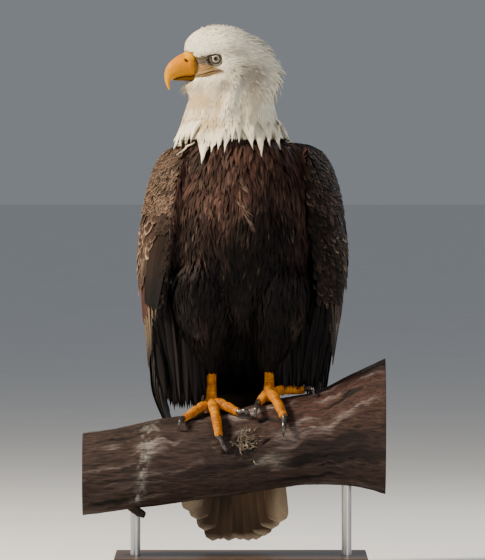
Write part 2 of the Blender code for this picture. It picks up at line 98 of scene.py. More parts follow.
# z, then the bearings in degrees of a folded wing's front and rear edges
WING_EDGES = (
    (0.172, 106, 130),
    (0.190, 94, 140),
    (0.215, 85, 150),
    (0.250, 76, 159),
    (0.290, 69, 167),
    (0.328, 62, 174),
    (0.365, 56, 176),
    (0.410, 50, 176),
    (0.450, 47, 175),
    (0.500, 45, 169),
    (0.550, 46, 158),
    (0.580, 50, 146),
    (0.594, 57, 136),
    (0.602, 72, 122),
)
# z, half width, middle y, half thickness of the closed tail
TAIL_STATIONS = (
    (0.0330, 0.020, 0.1245, 0.0016),
    (0.0370, 0.041, 0.1240, 0.0022),
    (0.0470, 0.060, 0.1230, 0.0028),
    (0.0650, 0.074, 0.1215, 0.0034),
    (0.0900, 0.081, 0.1190, 0.0040),
    (0.1300, 0.078, 0.1150, 0.0052),
    (0.1800, 0.068, 0.1100, 0.0075),
    (0.2355, 0.056, 0.1030, 0.0130),
)
TAIL_CENTRE_X = -0.003
# culmen forward, z, cutting edge forward, z, half width of the cere and the upper bill
BILL_STATIONS = (
    (0.0400, 0.7260, 0.0400, 0.7030, 0.0070),
    (0.0470, 0.7290, 0.0465, 0.7000, 0.0080),
    (0.0535, 0.7318, 0.0520, 0.6978, 0.0098),
    (0.0580, 0.7340, 0.0560, 0.6972, 0.0128),
    (0.0635, 0.7344, 0.0605, 0.6975, 0.0134),
    (0.0695, 0.7318, 0.0665, 0.6975, 0.0130),
    (0.0776, 0.7278, 0.0757, 0.6965, 0.0120),
    (0.0852, 0.7224, 0.0825, 0.6950, 0.0105),
    (0.0914, 0.7163, 0.0868, 0.6938, 0.0088),
    (0.0951, 0.7095, 0.0888, 0.6918, 0.0073),
    (0.0969, 0.7027, 0.0893, 0.6898, 0.0058),
    (0.0966, 0.6959, 0.0893, 0.6876, 0.0044),
    (0.0951, 0.6890, 0.0890, 0.6848, 0.0030),
    (0.0926, 0.6830, 0.0887, 0.6814, 0.0018),
    (0.0906, 0.6800, 0.0892, 0.6794, 0.0009),
)
LOWER_BILL_STATIONS = (
    (0.0440, 0.7000, 0.0440, 0.6940, 0.0112),
    (0.0560, 0.6994, 0.0560, 0.6926, 0.0116),
    (0.0670, 0.6988, 0.0670, 0.6920, 0.0108),
    (0.0760, 0.6974, 0.0755, 0.6922, 0.0088),
    (0.0820, 0.6956, 0.0810, 0.6926, 0.0060),
    (0.0846, 0.6944, 0.0838, 0.6932, 0.0030),
)
# x, centre z, half height, half depth of the branch
PERCH_STATIONS = (
    (-0.2250, 0.1337, 0.0582, 0.0570),
    (-0.1718, 0.1414, 0.0590, 0.0580),
    (-0.1150, 0.1512, 0.0612, 0.0595),
    (-0.0582, 0.1587, 0.0607, 0.0600),
    (-0.0014, 0.1672, 0.0607, 0.0605),
    (0.0554, 0.1783, 0.0632, 0.0620),
    (0.1122, 0.1861, 0.0667, 0.0650),
    (0.1548, 0.1953, 0.0790, 0.0700),
    (0.2050, 0.2010, 0.0960, 0.0760),
)
PAD = {"right": (-0.0420, 4.0, 0.0128), "left": (0.0400, 12.0, 0.0105)}
ANKLE = {"right": (-0.0420, -0.003, 0.292), "left": (0.0405, -0.003, 0.296)}
TARSUS_RADIUS = 0.0073
PAD_RADIUS = 0.0112
# toe's end x and wrap, claw tip's x and wrap, radii of toe and claw
DIGITS = {
    "right": {
        "outer": (-0.0810, 31, -0.0885, 45, 0.0064, 0.0038),
        "middle": (-0.0310, 67, -0.0200, 88, 0.0070, 0.0042),
        "inner": (-0.0030, 35, 0.0120, 42, 0.0068, 0.0048),
        "hind": (-0.0470, -46, -0.0500, -78, 0.0070, 0.0052),
    },
    "left": {
        "outer": (0.0900, 5, 0.1040, 27, 0.0064, 0.0038),
        "middle": (0.0610, 58, 0.0600, 80, 0.0070, 0.0042),
        "inner": (0.0250, 22, 0.0195, 47, 0.0066, 0.0047),
        "hind": (0.0440, -46, 0.0460, -78, 0.0070, 0.0052),
    },
}
CLAW_ROOT = 0.0045
WOOD_CLEARANCE = 0.0006
WOOD_SWELL = 1.018

# ---------------------------------------------------------------- looks

WHITE_FROM_Z = 0.611  # the white of the neck starts here
SKIN_VOXEL = 0.0028

# ---------------------------------------------------------------- curves and frames


def rows(stations, at):
    """The stations' other columns at these values of the first, on smooth curves through them."""
    table = np.array(stations, float)
    keys, values = table[:, 0], table[:, 1:]
    slopes = np.gradient(values, keys, axis=0)
    at = np.clip(np.asarray(at, float), keys[0], keys[-1])
    i = np.clip(np.searchsorted(keys, at, side="right") - 1, 0, len(keys) - 2)
    span = (keys[i + 1] - keys[i])[..., None]
    t = (at - keys[i])[..., None] / span
    return (
        values[i] * (2 * t**3 - 3 * t**2 + 1)
        + slopes[i] * span * (t**3 - 2 * t**2 + t)
        + values[i + 1] * (3 * t**2 - 2 * t**3)
        + slopes[i + 1] * span * (t**3 - t**2)
    )


def columns(stations, at):
    """The same as rows, with one array for each column."""
    return np.moveaxis(rows(stations, at), -1, 0)


def turned(points, yaw, axis):
    """Points turned about the upright line through axis."""
    points = np.asarray(points, float)
    x, y = points[..., 0] - axis[0], points[..., 1] - axis[1]
    c, s = math.cos(yaw), math.sin(yaw)
    return joined(axis[0] + c * x - s * y, axis[1] + s * x + c * y, points[..., 2])


def head_point(forward, aside, z):
    """Points given forward of the head's axis and to the bird's left of it."""
    points = joined(HEAD_AXIS[0] + aside, HEAD_AXIS[1] - forward, z)
    return turned(points, HEAD_YAW, HEAD_AXIS)


def in_head(points):
    """How far forward of the head's axis, to its left, and how high the points are."""
    back = turned(points, -HEAD_YAW, HEAD_AXIS)
    return HEAD_AXIS[1] - back[..., 1], back[..., 0] - HEAD_AXIS[0], back[..., 2]


def head_direction(forward, aside, up):
    return head_point(forward, aside, up) - head_point(0.0, 0.0, 0.0)


def body_place(x, y, z):
    """Points given in the straight frame of the body, before it turns."""
    return turned(joined(x, y, z), BODY_YAW, BODY_AXIS)


def body_direction(x, y, z):
    return turned(joined(x, y, z), BODY_YAW, (0.0, 0.0))


def body_point(bearing, z, inward):
    """Points of the bird's outline; bearing 0 is straight ahead, and a quarter turn its left."""
    half_width, front, back = columns(ENVELOPE_STATIONS, z)
    middle, half_depth = (front + back) / 2, (back - front) / 2
    x = WINGS_X + (half_width - inward) * np.sin(bearing)
    y = middle - (half_depth - inward) * np.cos(bearing)
    return body_place(x, y, z)


def in_body(points):
    """Bearing of each point, and how far out it is, where 1 is the bird's outline."""
    back = turned(points, -BODY_YAW, BODY_AXIS)
    half_width, front, hind = columns(ENVELOPE_STATIONS, back[..., 2])
    across = (back[..., 0] - WINGS_X) / half_width
    along = ((front + hind) / 2 - back[..., 1]) / ((hind - front) / 2)
    return np.arctan2(across, along), np.hypot(across, along)


def on_branch(x, wrap_degrees, lift):
    """Points above the wood; wrap 0 is the top of the branch, and 90 its front."""
    centre_z, half_height, half_depth = columns(PERCH_STATIONS, x)
    a = np.radians(wrap_degrees)
    y = -(half_depth * WOOD_SWELL + lift) * np.sin(a)
    return joined(x, y, centre_z + (half_height * WOOD_SWELL + lift) * np.cos(a))


def unit(vectors):
    return vectors / np.maximum(np.linalg.norm(vectors, axis=-1, keepdims=True), 1e-12)


def dot(a, b):
    return (a * b).sum(-1, keepdims=True)


def smooth(x, low, high):
    """0 below low and 1 above high, with an even slope between."""
    t = np.clip((np.asarray(x, float) - low) / (high - low), 0, 1)
    return t * t * (3 - 2 * t)


def bell(*offsets):
    """1 where every offset is 0, and falling away smoothly round there."""
    return np.exp(-sum(offset**2 for offset in offsets))


def between(pair, share):
    return pair[0] + (pair[1] - pair[0]) * share


def turns(sides):
    """Even angles round a circle."""
    return np.linspace(0, 2 * math.pi, sides, endpoint=False)


def steps(count):
    """Even steps from 0 to 1."""
    return np.linspace(0, 1, count)


def joined(*parts):
    """Points, or pairs, from their separate coordinates."""
    return np.stack(np.broadcast_arrays(*parts), -1)


def eased(keys, columns, count):
    """This many rows on smooth curves through the columns, evenly spread over the keys."""
    return rows(np.column_stack([keys, *columns]), np.linspace(keys[0], keys[-1], count))


def lattice(cells, seed):
    """A repeatable value from 0 to 1 for each whole-numbered cell."""
    mixed = np.uint64(seed * 2654435761 % 2**32)
    for axis, prime in enumerate((73856093, 19349663, 83492791)):
        mixed = mixed ^ cells[..., axis].astype(np.uint64) * np.uint64(prime)
    mixed = (mixed ^ (mixed >> np.uint64(13))) * np.uint64(1274126177) & np.uint64(0xFFFFFFFF)
    mixed = (mixed ^ (mixed >> np.uint64(16))) & np.uint64(0xFFFFFF)
    return mixed / float(0xFFFFFF)


def clouds(points, size, seed, octaves=3):
    """Soft noise from -1 to 1 with lumps of this size."""
    total, weight = 0.0, 0.0
    for octave in range(octaves):
        p = np.asarray(points, float) / (size / 2**octave) + 1000.0
        cell = np.floor(p).astype(np.int64)
        f = p - cell
        f = f * f * (3 - 2 * f)
        value = 0.0
        for corner in np.ndindex(2, 2, 2):
            near = np.where(corner, f, 1 - f)
            share = near[..., 0] * near[..., 1] * near[..., 2]
            value = value + share * lattice(cell + corner, seed + octave)
        total = total + (value * 2 - 1) * 0.55**octave
        weight += 0.55**octave
    return total / weight


# ---------------------------------------------------------------- meshes from arrays


def new_object(name, mesh, material, slot=None, replaces=()):
    mesh.materials.append(material)
    obj = bpy.data.objects.new(name, mesh)
    bpy.context.scene.collection.objects.link(obj)
    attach(obj, "root")
    if slot:
        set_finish(obj, slot)
    if replaces:
        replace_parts(obj, *replaces)
    return obj


def mesh_from(name, points, faces_of_size):
    """A smooth-shaded mesh; faces_of_size is a list of arrays of corner indices, one row a face."""
    mesh = bpy.data.meshes.new(name)
    loops = np.concatenate([f.ravel() for f in faces_of_size])
    totals = np.concatenate([np.full(len(f), f.shape[1]) for f in faces_of_size])
    starts = np.concatenate([[0], np.cumsum(totals)[:-1]])
    mesh.vertices.add(len(points))
    mesh.vertices.foreach_set("co", np.asarray(points, np.float32).ravel())
    mesh.loops.add(len(loops))
    mesh.loops.foreach_set("vertex_index", loops.astype(np.int32))
    mesh.polygons.add(len(totals))
    mesh.polygons.foreach_set("loop_start", starts.astype(np.int32))
    mesh.polygons.foreach_set("loop_total", totals.astype(np.int32))
    mesh.update(calc_edges=True)
    mesh.shade_smooth()
    return mesh


def bands(here, above):
    """Quads between closed rings of point indices, one ring a row."""
    corners = [here, above, np.roll(above, -1, axis=-1), np.roll(here, -1, axis=-1)]
    return np.stack(corners, -1).reshape(-1, 4)


def tube_faces(lots, rings, sides):
    """Faces of closed tubes, stored as lots x rings x sides points, with a cap on each end."""
    index = np.arange(lots * rings * sides).reshape(lots, rings, sides)
    caps = np.concatenate([index[:, 0], index[:, -1, ::-1]])
    return [bands(index[:, :-1], index[:, 1:]), caps]


def set_colours(mesh, name, colours):
    attribute = mesh.attributes.new(name, "FLOAT_COLOR", "POINT")
    rgba = np.ones((len(mesh.vertices), 4), np.float32)
    rgba[:, :3] = np.asarray(colours).reshape(-1, 3)
    attribute.data.foreach_set("color", rgba.ravel())


def set_value(mesh, name, values):
    attribute = mesh.attributes.new(name, "FLOAT", "POINT")
    attribute.data.foreach_set("value", np.asarray(values, np.float32).ravel())


def set_uv(mesh, name, coordinates):
    """A UV map from one pair of coordinates for each point."""
    corners = read(mesh.loops, "vertex_index", 1, np.int32)
    layer = mesh.uv_layers.new(name=name)
    layer.uv.foreach_set("vector", np.asarray(coordinates, np.float32)[corners].ravel())


def read(items, field, width, kind):
    """One field of a mesh's vertices, edges, corners or triangles, one row each."""
    values = np.empty(len(items) * width, kind)
    items.foreach_get(field, values)
    return values.reshape(-1, width)


def points_of(mesh):
    return read(mesh.vertices, "co", 3, np.float32).astype(float)


def normals_of(mesh):
    return read(mesh.vertex_normals, "vector", 3, np.float32).astype(float)


def move_points(mesh, points):
    mesh.vertices.foreach_set("co", np.asarray(points, np.float32).ravel())
    mesh.update()


def loft(name, rings, material, slot, replaces=()):
    """One closed smooth body over an array of rings x sides x 3."""
    rings = np.asarray(rings, float)
    mesh = mesh_from(
        name, rings.reshape(-1, 3), tube_faces(1, rings.shape[0], rings.shape[1])
    )
    outward_faces(mesh)
    return new_object(name, mesh, material, slot, replaces)


def outward_faces(mesh):
    shaped = bmesh.new()
    shaped.from_mesh(mesh)
    bmesh.ops.recalc_face_normals(shaped, faces=shaped.faces)
    shaped.to_mesh(mesh)
    shaped.free()


def sweep(path, radii, sides, up=(0.0, 0.0, 1.0)):
    """Rings about a path: rings x sides x 3, with each point's angle from the up side."""
    path = np.asarray(path, float)
    tangent = unit(np.gradient(path, axis=0))
    upward = unit(np.asarray(up) - dot(tangent, np.asarray(up)) * tangent)
    across = np.cross(tangent, upward)
    angle = turns(sides)
    circle = (
        upward[:, None] * np.cos(angle)[None, :, None]
        + across[:, None] * np.sin(angle)[None, :, None]
    )
    radii = np.asarray(radii, float)
    radii = radii[:, None] if radii.ndim == 1 else radii
    return path[:, None] + circle * radii[..., None], angle


# ---------------------------------------------------------------- materials


class Look:
    """A Principled material whose nodes are added and linked by short calls."""

    def __init__(self, name, roughness=0.6, **constants):
        self.material = bpy.data.materials.new(name)
        self.material.use_nodes = True
        self.tree = self.material.node_tree
        self.shader = self.tree.nodes["Principled BSDF"]
        self.shader.inputs["Roughness"].default_value = roughness
        for socket, value in constants.items():
            self.shader.inputs[socket.replace("_", " ")].default_value = value

    def node(self, kind, inputs=None, **settings):
        made = self.tree.nodes.new(kind)
        for key, value in settings.items():
            setattr(made, key, value)
        for key, value in (inputs or {}).items():
            if isinstance(value, bpy.types.NodeSocket):
                self.tree.links.new(value, made.inputs[key])
            else:
                made.inputs[key].default_value = value
        return made

    def attribute(self, name, output="Fac"):
        return self.node("ShaderNodeAttribute", attribute_name=name).outputs[output]

    def place(self):
        """Points in the object's own space, which is the row frame."""
        return self.node("ShaderNodeTexCoord").outputs["Object"]

    def math(self, operation, a, b=0.0, c=0.0):
        made = self.node("ShaderNodeMath", {0: a, 1: b, 2: c}, operation=operation)
        return made.outputs[0]

    def scaled(self, vector, scale):
        made = self.node("ShaderNodeVectorMath", {0: vector, 1: scale}, operation="MULTIPLY")
        return made.outputs[0]

    def grain(self, stretch, *details):
        """Noise that is finer along the axes with the larger numbers."""
        return self.noise(self.scaled(self.place(), stretch), 1.0, *details)

    def noise(self, vector, scale, detail=3.0, roughness=0.55, distortion=0.0):
        made = self.node(
            "ShaderNodeTexNoise",
            {
                "Vector": vector,
                "Scale": scale,
                "Detail": detail,
                "Roughness": roughness,
                "Distortion": distortion,
            },
        )
        return made.outputs["Fac"]

    def ramp(self, value, *stops):
        """Stops are (position, colour or grey)."""
        made = self.node("ShaderNodeValToRGB", {"Fac": value})
        elements = made.color_ramp.elements
        while len(elements) < len(stops):
            elements.new(0.5)
        for element, (position, colour) in zip(elements, stops):
            element.position = position
            rgb = colour if isinstance(colour, tuple) else (colour,) * 3
            element.color = (*rgb, 1.0)
        return made.outputs["Color"]

    def mix(self, share, a, b, blend="MIX"):
        made = self.node("ShaderNodeMix", data_type="RGBA", blend_type=blend)
        for socket, value in ((0, share), (6, a), (7, b)):
            if isinstance(value, bpy.types.NodeSocket):
                self.tree.links.new(value, made.inputs[socket])
            else:
                value = (*value, 1.0) if isinstance(value, tuple) else value
                made.inputs[socket].default_value = value
        return made.outputs[2]

    def colour(self, value):
        self.tree.links.new(value, self.shader.inputs["Base Color"])

    def worn(self, tint, value, low, high):
        """The tint, made darker and lighter by a value; low and high are (position, lightness)."""
        self.colour(self.mix(1.0, tint, self.ramp(value, low, high), "MULTIPLY"))

    def rough(self, value):
        self.tree.links.new(value, self.shader.inputs["Roughness"])

    def bump(self, height, strength, distance):
        made = self.node(
            "ShaderNodeBump", {"Height": height, "Strength": strength, "Distance": distance}
        )
        self.tree.links.new(made.outputs[0], self.shader.inputs["Normal"])


# ---------------------------------------------------------------- the bird's surface

FLESH = (
    "head", "neck", "trunk", "wing_left", "wing_right", "thigh_left", "thigh_right",
)  # fmt: skip


def relaxed(points, edges, rounds):
    """Points smoothed along the mesh's edges without shrinking it."""
    points = points.copy()
    count = np.bincount(edges.ravel(), minlength=len(points))[:, None]
    for step in range(rounds * 2):
        total = np.zeros_like(points)
        for axis in range(3):
            total[:, axis] = np.bincount(
                edges[:, 0], points[edges[:, 1], axis], len(points)
            ) + np.bincount(edges[:, 1], points[edges[:, 0], axis], len(points))
        pull = 0.6 if step % 2 == 0 else -0.62
        points += (total / np.maximum(count, 1) - points) * pull
    return points


def make_envelope():
    """The outside of the coat as one even mesh, from the solids of flesh."""
    joined = bmesh.new()
    for name in FLESH:
        joined.from_mesh(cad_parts[name].data)
    bmesh.ops.remove_doubles(joined, verts=joined.verts, dist=1e-5)
    mesh = bpy.data.meshes.new("envelope")
    joined.to_mesh(mesh)
    joined.free()
    mesh.remesh_voxel_size = SKIN_VOXEL
    obj = bpy.data.objects.new("envelope", mesh)
    bpy.context.scene.collection.objects.link(obj)
    remesh = obj.modifiers.new("remesh", "REMESH")
    remesh.mode = "VOXEL"
    remesh.voxel_size = SKIN_VOXEL
    even = bpy.data.meshes.new_from_object(
        obj.evaluated_get(bpy.context.evaluated_depsgraph_get())
    )
    bpy.data.objects.remove(obj)
    edges = read(even.edges, "vertices", 2, np.int32)
    move_points(even, relaxed(points_of(even), edges, 24))
    return even


class Surface:
    """The coat's outside, for finding the nearest point and growing feathers along it."""

    def __init__(self, mesh):
        self.points, self.normals = points_of(mesh), normals_of(mesh)
        mesh.calc_loop_triangles()
        self.triangles = read(mesh.loop_triangles, "vertices", 3, np.int32)
        self.tree = BVHTree.FromPolygons(self.points.tolist(), self.triangles.tolist())

    def found(self, hits, shape):
        """The places of BVHTree hits, and the surface's normals there."""
        places = np.array([hit[0] for hit in hits])
        corners = self.triangles[[hit[2] for hit in hits]]
        normals = unit(self.normals[corners].mean(1))
        return places.reshape(shape), normals.reshape(shape)

    def nearest(self, points):
        hits = [self.tree.find_nearest(point) for point in points.reshape(-1, 3).tolist()]
        return self.found(hits, points.shape)

    def cast(self, origins, direction):
        """Where rays meet the surface; one that misses takes the place nearest to y = 0."""
        hits = []
        for x, y, z in origins.reshape(-1, 3).tolist():
            hit = self.tree.ray_cast((x, y, z), direction)
            hits.append(self.tree.find_nearest((x, 0.0, z)) if hit[0] is None else hit)
        return self.found(hits, origins.shape)

    def scatter(self, spacing, wanted, seed):
        """Roots over the part of the surface where wanted(points) is true; spacing is their
        distance apart, or a function of points that gives it."""
        rng = seeded(seed)
        corners = self.points[self.triangles]
        corners = corners[wanted(corners.mean(1))]
        area = np.linalg.norm(
            np.cross(corners[:, 1] - corners[:, 0], corners[:, 2] - corners[:, 0]), axis=1
        )
        closest = spacing(corners.mean(1)) if callable(spacing) else np.full(len(corners), spacing)
        weight = area / closest**2
        tries = rng.choice(len(corners), int(weight.sum() * 0.5 * 5), p=weight / weight.sum())
        shares = np.sort(rng.random((len(tries), 2)), axis=1)
        points = (
            corners[tries, 0] * shares[:, :1]
            + corners[tries, 1] * (shares[:, 1:] - shares[:, :1])
            + corners[tries, 2] * (1 - shares[:, 1:])
        )
        return points[thinned(points, closest[tries])]


def thinned(points, gaps):
    """Indices of points that keep their own gap to those kept before them."""
    cell = float(gaps.max())
    kept, grid = [], {}
    keys = np.floor(points / cell).astype(int).tolist()
    around = [(i, j, k) for i in (-1, 0, 1) for j in (-1, 0, 1) for k in (-1, 0, 1)]
    for n, ((kx, ky, kz), (x, y, z), gap) in enumerate(
        zip(keys, points.tolist(), (gaps**2).tolist())
    ):
        cells = (grid.get((kx + i, ky + j, kz + k), ()) for i, j, k in around)
        if any(
            (x - a) ** 2 + (y - b) ** 2 + (z - c) ** 2 < gap for near in cells for a, b, c in near
        ):
            continue
        grid.setdefault((kx, ky, kz), []).append((x, y, z))
        kept.append(n)
    return np.array(kept)


def bake_place(points):
    """Each point's place on an unwrap of the skin: round the bird, and up it."""
    bearing = np.arctan2(points[..., 0] + 0.004, 0.02 - points[..., 1])
    return joined(bearing / (2 * math.pi) * 0.96 + 0.5, points[..., 2] * 1.25)


# ---------------------------------------------------------------- feathers

# Cross-sections of a vane: across from -1 to 1, and height in thicknesses
SLIM = np.array([(-1, 0), (-0.55, 0.75), (0, 1), (0.55, 0.75), (1, 0), (0, -0.5)], float)
BLADE = np.array([(-1, 0), (0, 1), (1, 0), (0, -0.5)], float)
BROAD = np.array(
    [
        (-1, 0), (-0.93, 0.5), (-0.5, 0.75), (-0.08, 0.8), (0, 1.9), (0.08, 0.8),
        (0.5, 0.75), (0.93, 0.5), (1, 0), (0.96, -0.2), (0, -0.6), (-0.96, -0.2),
    ],
    float,
)  # fmt: skip
SCALLOP = np.array(
    [
        (-1, 0), (-0.8, 0.5), (-0.4, 0.8), (0, 1.2), (0.4, 0.8), (0.8, 0.5), (1, 0),
        (0.4, -0.4), (-0.4, -0.4),
    ],
    float,
)  # fmt: skip
COAT_PIECE_TRIANGLES = 190000


def leaf(rings, widest, point):
    """Half width along a feather: a quarter at the root, 1 at its widest and 0 at the tip."""
    u = steps(rings)
    rise = np.sin(np.clip(u / widest, 0, 1) * math.pi / 2) ** 0.6
    fall = np.clip((1 - u) / (1 - widest), 0, 1) ** point
    return np.where(u < widest, 0.25 + 0.75 * rise, fall)


class Coat:
    """Feathers of one kind, gathered until they become meshes."""

    def __init__(self, name, section, slot, material, roundness, calmness):
        """roundness curves a vane's shading across it; calmness draws it to the surface's own."""
        self.name, self.section, self.slot, self.material = name, section, slot, material
        self.roundness, self.calmness = roundness, calmness
        self.lots = []

    def add(self, centre, normal, half_width, thickness, tint, roots=None, rag=0.0, seed=1, cup=0.0,
            calm=None):
        """centre and normal are feathers x rings x 3; half_width is feathers x rings, or x 2 sides;
        tint(u, v, lot) gives feathers x rings x section x 3; roots are where the feathers leave
        the skin; rag is how uneven their tips are; calm is normals to shade towards."""
        section = self.section
        rng = seeded(seed)
        lots, rings = centre.shape[:2]
        tangent = unit(np.gradient(centre, axis=1))
        side = unit(np.cross(normal, tangent))
        normal = np.cross(tangent, side)
        v, h = section[:, 0], section[:, 1]
        if half_width.ndim == 2:
            half_width = half_width[..., None]
        wide = np.where(v < 0, half_width[..., :1], half_width[..., -1:])
        across = v * wide
        rise = h * thickness - cup * v**2 * wide
        sideways = side[:, :, None] * across[..., None]
        points = centre[:, :, None] + sideways + normal[:, :, None] * rise[..., None]
        upper = np.where(h < 0, -1.0, 1.0)[:, None]
        shading = normal[:, :, None] * upper + side[:, :, None] * (self.roundness * v)[:, None]
        if calm is not None:
            shading = unit(shading) * (1 - self.calmness) + calm[:, :, None] * upper * self.calmness
        shading = unit(shading)
        length = np.linalg.norm(np.diff(centre, axis=1), axis=-1)
        reach = np.concatenate([np.zeros((lots, 1)), np.cumsum(length, axis=1)], axis=1)
        u = steps(rings)
        if rag:
            slip = rng.normal(0, 1, (lots, 1, len(v))) * smooth(u, 0.45, 1.0)[None, :, None]
            slip = slip * rag * length[:, -1:, None]
            points += tangent[:, :, None] * slip[..., None]
        lot = rng.random(lots)
        tints = tint(u[None, :, None], v[None, None, :], lot[:, None, None])
        patch = bake_place(centre[:, 0] if roots is None else roots)[:, None, None]
        local = joined(v * 0.0015, u[:, None] * 0.003 - 0.0015)
        vane = joined(across, reach[..., None])
        fields = (points, tints, lot[:, None, None, None], patch + local, vane, shading)
        shape = (lots, rings, len(v))
        self.lots.append([np.broadcast_to(c, (*shape, c.shape[-1])) for c in fields])

    def make(self):
        """Joins the feathers into as few pieces as the triangle limit allows."""
        made = []
        for group in self.groups():
            name = f"{self.name}_{len(made) + 1}"
            mesh = self.join(name, group)
            made.append(new_object(name, mesh, self.material, self.slot))
        return made

    def groups(self):
        """Lots of feathers, cut so that each group stays under the limit."""
        group, triangles, section = [], 0, len(self.section)
        for lot in self.lots:
            rings = lot[0].shape[1]
            each = 2 * section * (rings - 1) + 2 * (section - 2)
            start = 0
            while start < len(lot[0]):
                room = (COAT_PIECE_TRIANGLES - triangles) // each
                if room < 1:
                    yield group
                    group, triangles = [], 0
                    continue
                part = [field[start : start + room] for field in lot]
                group.append(part)
                triangles += len(part[0]) * each
                start += room
        if group:
            yield group

    def join(self, name, group):
        faces, at = [], 0
        for part in group:
            lots, rings, section = part[0].shape[:3]
            faces += [f + at for f in tube_faces(lots, rings, section)]
            at += lots * rings * section
        points, tints, lot, bake, vane, shading = (
            np.concatenate([field.reshape(-1, field.shape[-1]) for field in fields])
            for fields in zip(*group)
        )
        mesh = mesh_from(name, points, faces)
        set_colours(mesh, "tint", tints)
        set_value(mesh, "lot", lot)
        set_uv(mesh, "vane", vane)
        set_uv(mesh, "OFBake", bake)
        mesh.uv_layers["vane"].active_render = True
        mesh.normals_split_custom_set_from_vertices(shading.astype(np.float32))
        return mesh


def grown(surface, roots, lengths, flow, rings, wander, seed):
    """Feathers' midribs over the surface: points and normals, feathers x rings x 3."""
    rng = seeded(seed)
    place, normal = surface.nearest(roots)
    centre, normals = [place], [normal]
    turn = rng.normal(0, wander, len(roots))[:, None]
    ahead = None
    for _ in range(rings - 1):
        aim = flow(place)
        aim = unit(aim - dot(aim, normal) * normal)
        aim = aim * np.cos(turn) + np.cross(normal, aim) * np.sin(turn)
        ahead = aim if ahead is None else unit(ahead + aim)
        place, normal = surface.nearest(place + ahead * (lengths / (rings - 1))[:, None])
        centre.append(place)
        normals.append(normal)
    return np.stack(centre, 1), np.stack(normals, 1)


def clumped(centre, gap, share, seed):
    """Midribs bent towards their clump's middle one, with clumps about this far apart, and
    the index of that one for each."""
    roots = centre[:, 0]
    order = seeded(seed).permutation(len(roots))
    heads = order[thinned(roots[order], np.full(len(roots), gap))]
    tree = KDTree(len(heads))
    for i, place in enumerate(roots[heads].tolist()):
        tree.insert(place, i)
    tree.balance()
    nearest = heads[[tree.find(place)[1] for place in roots.tolist()]]
    u = steps(centre.shape[1])[None, :, None]
    pull = np.asarray(share).reshape(-1, 1, 1) * u**1.4
    return centre + (centre[nearest] - centre) * pull, nearest


def raised(centre, normals, depth, lift):
    """Midribs that start at depth under the surface and end lift above it."""
    u = steps(centre.shape[1])[None, :]
    depth, lift = np.asarray(depth)[..., None], np.asarray(lift)[..., None]
    height = -depth * (1 - smooth(u, -0.2, 0.75)) + lift * u**2.5
    return centre + normals * height[..., None]


def rolling(points, normals, field, height):
    """Normals as they would be if the field, from -1 to 1, raised the surface up to this height."""
    step = 0.001
    moves = step * np.eye(3)
    slope = [(field(points + move) - field(points - move)) / (2 * step) for move in moves]
    return unit(normals - height * np.stack(slope, -1))


def tilted(centre, normals, seed, spread):
    """Normals turned a little about each midrib, so that neighbours catch the light differently."""
    roll = seeded(seed).normal(0, spread, (len(centre), 1, 1))
    side = np.cross(normals, unit(np.gradient(centre, axis=1)))
    return unit(normals * np.cos(roll) + side * np.sin(roll))


# ---------------------------------------------------------------- markings and lie of the coat

WHITE = np.array([0.97, 0.88, 0.68])
# grey-buff of the cheek, deepened as painted shade
DUSK_AND_SHADE = np.array([0.31, 0.260, 0.205])
# a warm cream, darkened as painted shade
SHADED_CREAM = np.array([0.70, 0.52, 0.29])
BREAST = np.array([0.052, 0.0250, 0.0180])
# painted shade: the belly's own dark brown, made near black for the shade under the body
SHADED_BELLY = np.array([0.0030, 0.0020, 0.0022])
BACK = np.array([0.040, 0.023, 0.017])
WING = np.array([0.070, 0.040, 0.028])
PALE_EDGE = np.array([0.42, 0.29, 0.195])
FLIGHT = np.array([0.0085, 0.0062, 0.0062])
REDDISH = np.array([0.098, 0.033, 0.021])
TAN = np.array([0.150, 0.105, 0.066])
BRISTLE = np.array([0.30, 0.24, 0.18])


def blend(a, b, share):
    return a + (b - a) * np.asarray(share)[..., None]


def marking(points):
    """The coat's colour by its place on the bird; the skin below has the same."""
    bearing, _ = in_body(points)
    z = points[..., 2]
    front = np.abs(bearing)
    # painted shade: the body darkens from the breast down to the belly
    body = blend(SHADED_BELLY, BREAST, smooth(z + 0.06 * clouds(points, 0.06, 6), 0.430, 0.600))
    body = blend(body, BACK, smooth(front, 1.6, 2.2))
    streaks = clouds(points * (1.0, 1.0, 0.4), 0.020, 5)
    patches = clouds(points * (1.0, 1.0, 0.6), 0.060, 4, 2)
    body = body * np.exp(0.75 * streaks + 0.9 * patches + patchwork(points))[..., None]
    return blend(body, white_marking(points), smooth(z, WHITE_FROM_Z - 0.002, WHITE_FROM_Z + 0.002))


# x, z, reach sideways, reach up and down, and lightness (a power of e) of the front's patches; the
# two darkest, high on the bird's left, are painted shade
PATCHES = (
    (0.038, 0.497, 0.026, 0.038, -1.1),
    (0.044, 0.562, 0.022, 0.032, -0.9),
    (-0.053, 0.520, 0.034, 0.036, 0.15),
    (-0.066, 0.454, 0.016, 0.020, 0.7),
    (0.090, 0.358, 0.018, 0.042, 1.6),
    (0.080, 0.420, 0.030, 0.030, 0.9),
    (0.098, 0.462, 0.026, 0.046, 0.8),
    (-0.064, 0.362, 0.018, 0.040, 0.9),
    (-0.008, 0.470, 0.030, 0.026, -0.7),
)


def patchwork(points):
    """Lighter and darker patches of the breast, belly and thighs, the darkest ones high on the
    bird's left being painted shade.
    """
    x, y, z = np.moveaxis(points, -1, 0)
    total = np.zeros_like(x)
    for at_x, at_z, reach_x, reach_z, power in PATCHES:
        total += power * bell((x - at_x) / reach_x, (z - at_z) / reach_z)
    return total * smooth(0.02 - y, 0.0, 0.03)


